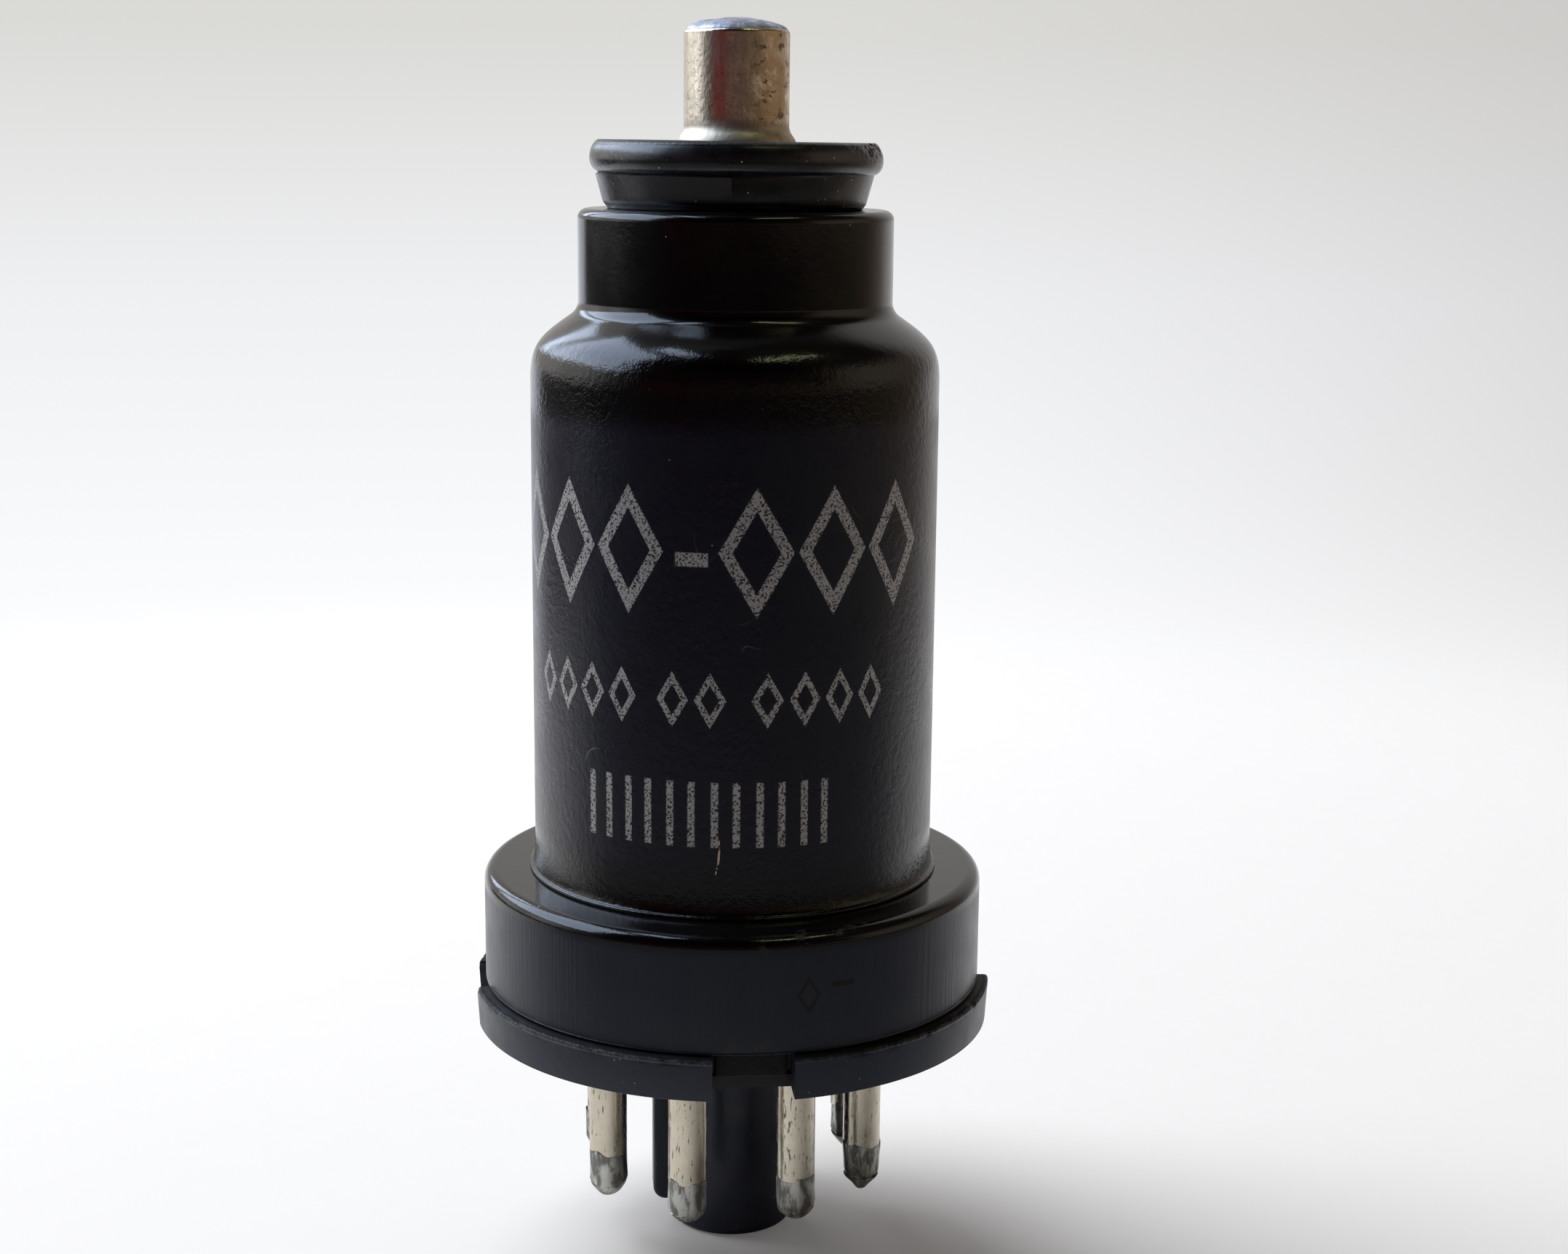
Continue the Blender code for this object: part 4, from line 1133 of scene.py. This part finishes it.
def build_pins():
    """Eight plated pins and their soldered ends."""
    plating = pin_plating()
    grey = solder_metal("pin_solder", (0.17, 0.17, 0.158), (0.5, 0.5, 0.46), 0.3)
    for number in range(1, PIN_COUNT + 1):
        shift = Matrix.Translation((*pin_place(number), 0))
        pin = turned(f"pin_skin_{number}", pin_profile(number), PIN_SEGMENTS)
        pin.data.transform(shift)
        dress(pin, [f"pin_{number}"], plating)
        node = f"pin_solder_{number}"
        end = turned(f"pin_solder_skin_{number}", solder_profile(number), PIN_SEGMENTS)
        shape_solder(end.data, number, bottom_of(node), top_of(node))
        end.data.transform(shift)
        dress(end, [node], grey)


def dress_inner_nodes():
    """Finishes for the sealed pieces, which keep their own meshes."""
    finishes = {
        "nickel_wire": plain_metal("nickel_wire", (0.6, 0.58, 0.54), 0.3),
        "sealing_alloy": plain_metal("sealing_alloy", (0.45, 0.44, 0.42), 0.4),
        "exhaust_metal": plain_metal("exhaust_metal", (0.5, 0.47, 0.43), 0.35),
        "bead_glass": bead_glass(),
    }
    for part in frame["record"]["subparts"]:
        finish = finishes.get(part["material_slot"])
        if finish is None:
            continue
        node = frame["nodes"][part["node"]]
        node.data.materials.clear()
        node.data.materials.append(finish)


# Paper floor that fades into the background, seen as white by the camera
FLOOR_RADIUS = 0.3
FLOOR_SOLID_RADIUS = 0.13
FLOOR_CLEAR_RADIUS = 0.24
PAPER_WHITE = (0.9, 0.888, 0.88)
PAPER_GLOW = 0.08
PAPER_NEAR = (0.035, 0.055)
PAPER_FRONT = (0.045, -0.03)
PAPER_FRONT_SHADE = 0.22
PAPER_GLOW_COLOUR = (0.95, 0.955, 0.985)


def build_floor():
    """A round sheet of paper under the tube."""
    bm = bmesh.new()
    bmesh.ops.create_circle(bm, cap_ends=True, radius=FLOOR_RADIUS, segments=96)
    floor = new_object("floor", mesh_from(bm, "floor"))
    material, shader = new_shader("paper")
    fibre = shader.noise(300, 2)
    white = shader.mix(fibre, tuple(0.985 * c for c in PAPER_WHITE), PAPER_WHITE)
    relief = shader.bump(fibre, 0.00005, 0.2)
    paper = shader.out("BsdfDiffuse", {"Color": white, "Normal": relief})
    glow = shader.out("Emission", {"Color": (*PAPER_GLOW_COLOUR, 1)})
    path = shader.node("LightPath").outputs
    share = shader.product(path["Is Camera Ray"], PAPER_GLOW)
    lit = shader.out("MixShader", {0: share, 1: paper, 2: glow})
    # Seen in reflections, the paper in front goes dark beyond a near disc: painted shade.
    black = shader.out("Emission", {"Strength": 0.0})
    away = shader.spread()
    front = shader.ramp(shader.axes()[1], *PAPER_FRONT, 0.0, 1 - PAPER_FRONT_SHADE)
    front = shader.product(front, shader.ramp(away, *PAPER_NEAR), path["Is Glossy Ray"])
    lit = shader.out("MixShader", {0: front, 1: lit, 2: black})
    faded = shader.ramp(away, FLOOR_SOLID_RADIUS, FLOOR_CLEAR_RADIUS)
    clear = shader.out("BsdfTransparent", {})
    shader.finish(shader.out("MixShader", {0: faded, 1: lit, 2: clear}))
    floor.data.materials.append(material)


# The room as the tube mirrors it, above and below the horizon: share of a turn from the front, colour
ROOM_HIGH = (
    (0.0, 0.195, 0.122, 0.095), (0.05, 0.19, 0.104, 0.084),
    (0.08, 0.22, 0.045, 0.04), (0.13, 0.21, 0.042, 0.036),
    (0.16, 0.115, 0.08, 0.066), (0.2, 0.28, 0.27, 0.26),
    (0.232, 0.9, 0.89, 0.88), (0.262, 1.45, 1.43, 1.41),
    (0.295, 1.0, 0.98, 0.95), (0.335, 1.25, 1.23, 1.2),
    (0.37, 0.76, 0.73, 0.68), (0.42, 0.64, 0.61, 0.56),
    (0.5, 0.62, 0.61, 0.6), (0.6, 0.56, 0.54, 0.52),
    (0.66, 0.24, 0.19, 0.15), (0.76, 0.45, 0.37, 0.29),
    (0.88, 0.39, 0.29, 0.205), (0.96, 0.195, 0.122, 0.095),
)
ROOM_LOW = (
    (0.0, 0.02, 0.012, 0.014), (0.1, 0.02, 0.018, 0.02),
    (0.2, 0.04, 0.038, 0.042), (0.25, 0.055, 0.052, 0.056),
    (0.29, 0.075, 0.072, 0.075), (0.335, 0.09, 0.082, 0.082),
    (0.38, 0.1, 0.095, 0.095), (0.398, 0.98, 1.01, 1.12),
    (0.45, 1.05, 1.08, 1.18), (0.5, 0.9, 0.9, 0.92),
    (0.61, 0.72, 0.69, 0.67), (0.632, 0.46, 0.42, 0.38),
    (0.664, 0.3, 0.25, 0.2), (0.7, 0.19, 0.13, 0.085),
    (0.74, 0.13, 0.11, 0.07), (0.8, 0.09, 0.073, 0.047),
    (0.85, 0.055, 0.048, 0.036), (0.9, 0.03, 0.025, 0.022),
    (1.0, 0.02, 0.012, 0.014),
)
ROOM_ABOVE = 0.14
BACKDROP = (
    (-0.45, 0.99, 0.99, 0.995), (-0.18, 0.965, 0.97, 0.985),
    (-0.06, 0.865, 0.87, 0.89), (0.04, 0.71, 0.705, 0.685),
    (0.3, 0.56, 0.55, 0.54),
)
BACKDROP_RIGHT_SHADE = 0.64


def colour_ramp(shader, value, stops, low, high):
    """A colour for each stretch of a value between low and high."""
    share = shader.out("MapRange", {"Value": value, "From Min": low, "From Max": high})
    made = shader.node("ValToRGB", {0: share})
    elements = made.color_ramp.elements
    while len(elements) > 1:
        elements.remove(elements[0])
    for index, (position, *colour) in enumerate(stops):
        at = (position - low) / (high - low)
        element = elements[0] if index == 0 else elements.new(at)
        element.position = at
        element.color = (*colour, 1)
    return made.outputs["Color"]


def build_world():
    """Pale backdrop behind the tube, a dim room in front of it."""
    world = bpy.data.worlds.new("studio")
    bpy.context.scene.world = world
    shader = Shader(world)
    turn = {"Vector": shader.coordinates["Generated"], "Angle": TUBE_TURN}
    x, y, z = shader.axes(shader.out("VectorRotate", turn, rotation_type="Z_AXIS"))
    azimuth = shader.math("DIVIDE", shader.math("ARCTAN2", x, y), FULL_TURN)
    azimuth = shader.math("ADD", azimuth, 0.5)
    high = colour_ramp(shader, azimuth, ROOM_HIGH, 0.0, 1.0)
    low = colour_ramp(shader, azimuth, ROOM_LOW, 0.0, 1.0)
    front = shader.product(shader.ramp(y, -0.35, -0.6), shader.ramp(z, 0.045, 0.09))
    high = shader.mix(shader.product(front, 0.85), high, (0, 0, 0))
    room = shader.mix(shader.ramp(z, 0.01, -0.03), high, low)
    overhead = shader.ramp(z, 0.35, 0.62, 1.0, ROOM_ABOVE)
    overhead = shader.either(overhead, shader.ramp(y, 0.35, 0.6))
    room = shader.scaled(room, shader.out("CombineXYZ", {0: overhead, 1: overhead, 2: overhead}))
    backdrop = colour_ramp(shader, z, BACKDROP, BACKDROP[0][0], BACKDROP[-1][0])
    right = shader.product(shader.ramp(x, -0.02, 0.6), shader.ramp(z, -0.25, -0.12, 0.4, 1.0))
    right = shader.product(right, BACKDROP_RIGHT_SHADE)
    backdrop = shader.mix(right, backdrop, (0.43, 0.415, 0.405))
    seen = shader.node("LightPath").outputs["Is Camera Ray"]
    colour = shader.mix(seen, room, backdrop)
    shader.finish(shader.out("Background", {"Color": colour}))


# Lamps: name, place and facing seen from the tube, width, height, then colour, radiance and what they light
DAYLIGHT = ((0.93, 0.96, 1.0), 5.55, "surfaces")
PANE = ((0.64, 0.77, 1.0), 4.7, "reflections")
SLIT = ((0.8, 0.86, 0.5), 3.2, "reflections")
LAMPS = (
    ("daylight", (-0.468, 0.414, 0.648), (-0.52, 0.46, 0.72), 0.95, 0.8, DAYLIGHT),
    ("window", (-0.7, 0.21, 0.76), (-1, 0, 0), 1.02, 1.0, PANE),
    ("side_window", (-0.7, 1.04, 0.595), (-1, 0, 0), 0.35, 0.71, PANE),
    ("high_pane", (-0.3, -0.08, 0.84), (-0.33, -0.09, 0.94), 0.32, 0.11, PANE),
    ("skylight", (0.2, -0.165, 0.54), (0.33, -0.275, 0.9), 0.26, 0.06, SLIT),
)
LAMP_TARGET = Vector((0, 0, 0.04))


def build_lamps():
    """Soft daylight from behind on the left, and what the enamel mirrors: three panes and a slit."""
    turn = Matrix.Rotation(-TUBE_TURN, 3, "Z")
    for name, place, facing, width, height, (colour, radiance, lights) in LAMPS:
        light = bpy.data.lights.new(name, "AREA")
        light.shape = "RECTANGLE"
        light.size = width
        light.size_y = height
        light.color = colour
        light.energy = radiance * pi * width * height
        lamp = new_object(name, light)
        lamp.location = LAMP_TARGET + turn @ Vector(place)
        lamp.rotation_mode = "QUATERNION"
        lamp.rotation_quaternion = (turn @ Vector(facing)).to_track_quat("Z", "Y")
        lamp.visible_camera = False
        lamp.visible_diffuse = lights == "surfaces"
        lamp.visible_glossy = lights == "reflections"


def build_camera():
    """The photograph's camera, in the tube's own frame."""
    camera = new_object("camera", bpy.data.cameras.new("camera"))
    camera.data.sensor_width = SENSOR_WIDTH
    camera.data.lens = SENSOR_WIDTH * FOCAL_PIXELS / IMAGE_WIDTH
    camera.data.clip_start = 0.01
    camera.matrix_world = (
        Matrix.Rotation(-TUBE_TURN, 4, "Z")
        @ Matrix.Translation((CAMERA_SIDE, -CAMERA_DISTANCE, CAMERA_HEIGHT))
        @ Matrix.Rotation(QUARTER - CAMERA_PITCH, 4, "X")
        @ Matrix.Rotation(-CAMERA_ROLL, 4, "Z")
    )
    bpy.context.scene.camera = camera


build_shell()
build_collar()
build_wafer()
build_insulator()
build_cap()
build_cap_solder()
build_pins()
dress_inner_nodes()
build_floor()
build_world()
build_lamps()
build_camera()
bpy.context.scene.view_settings.view_transform = "Standard"
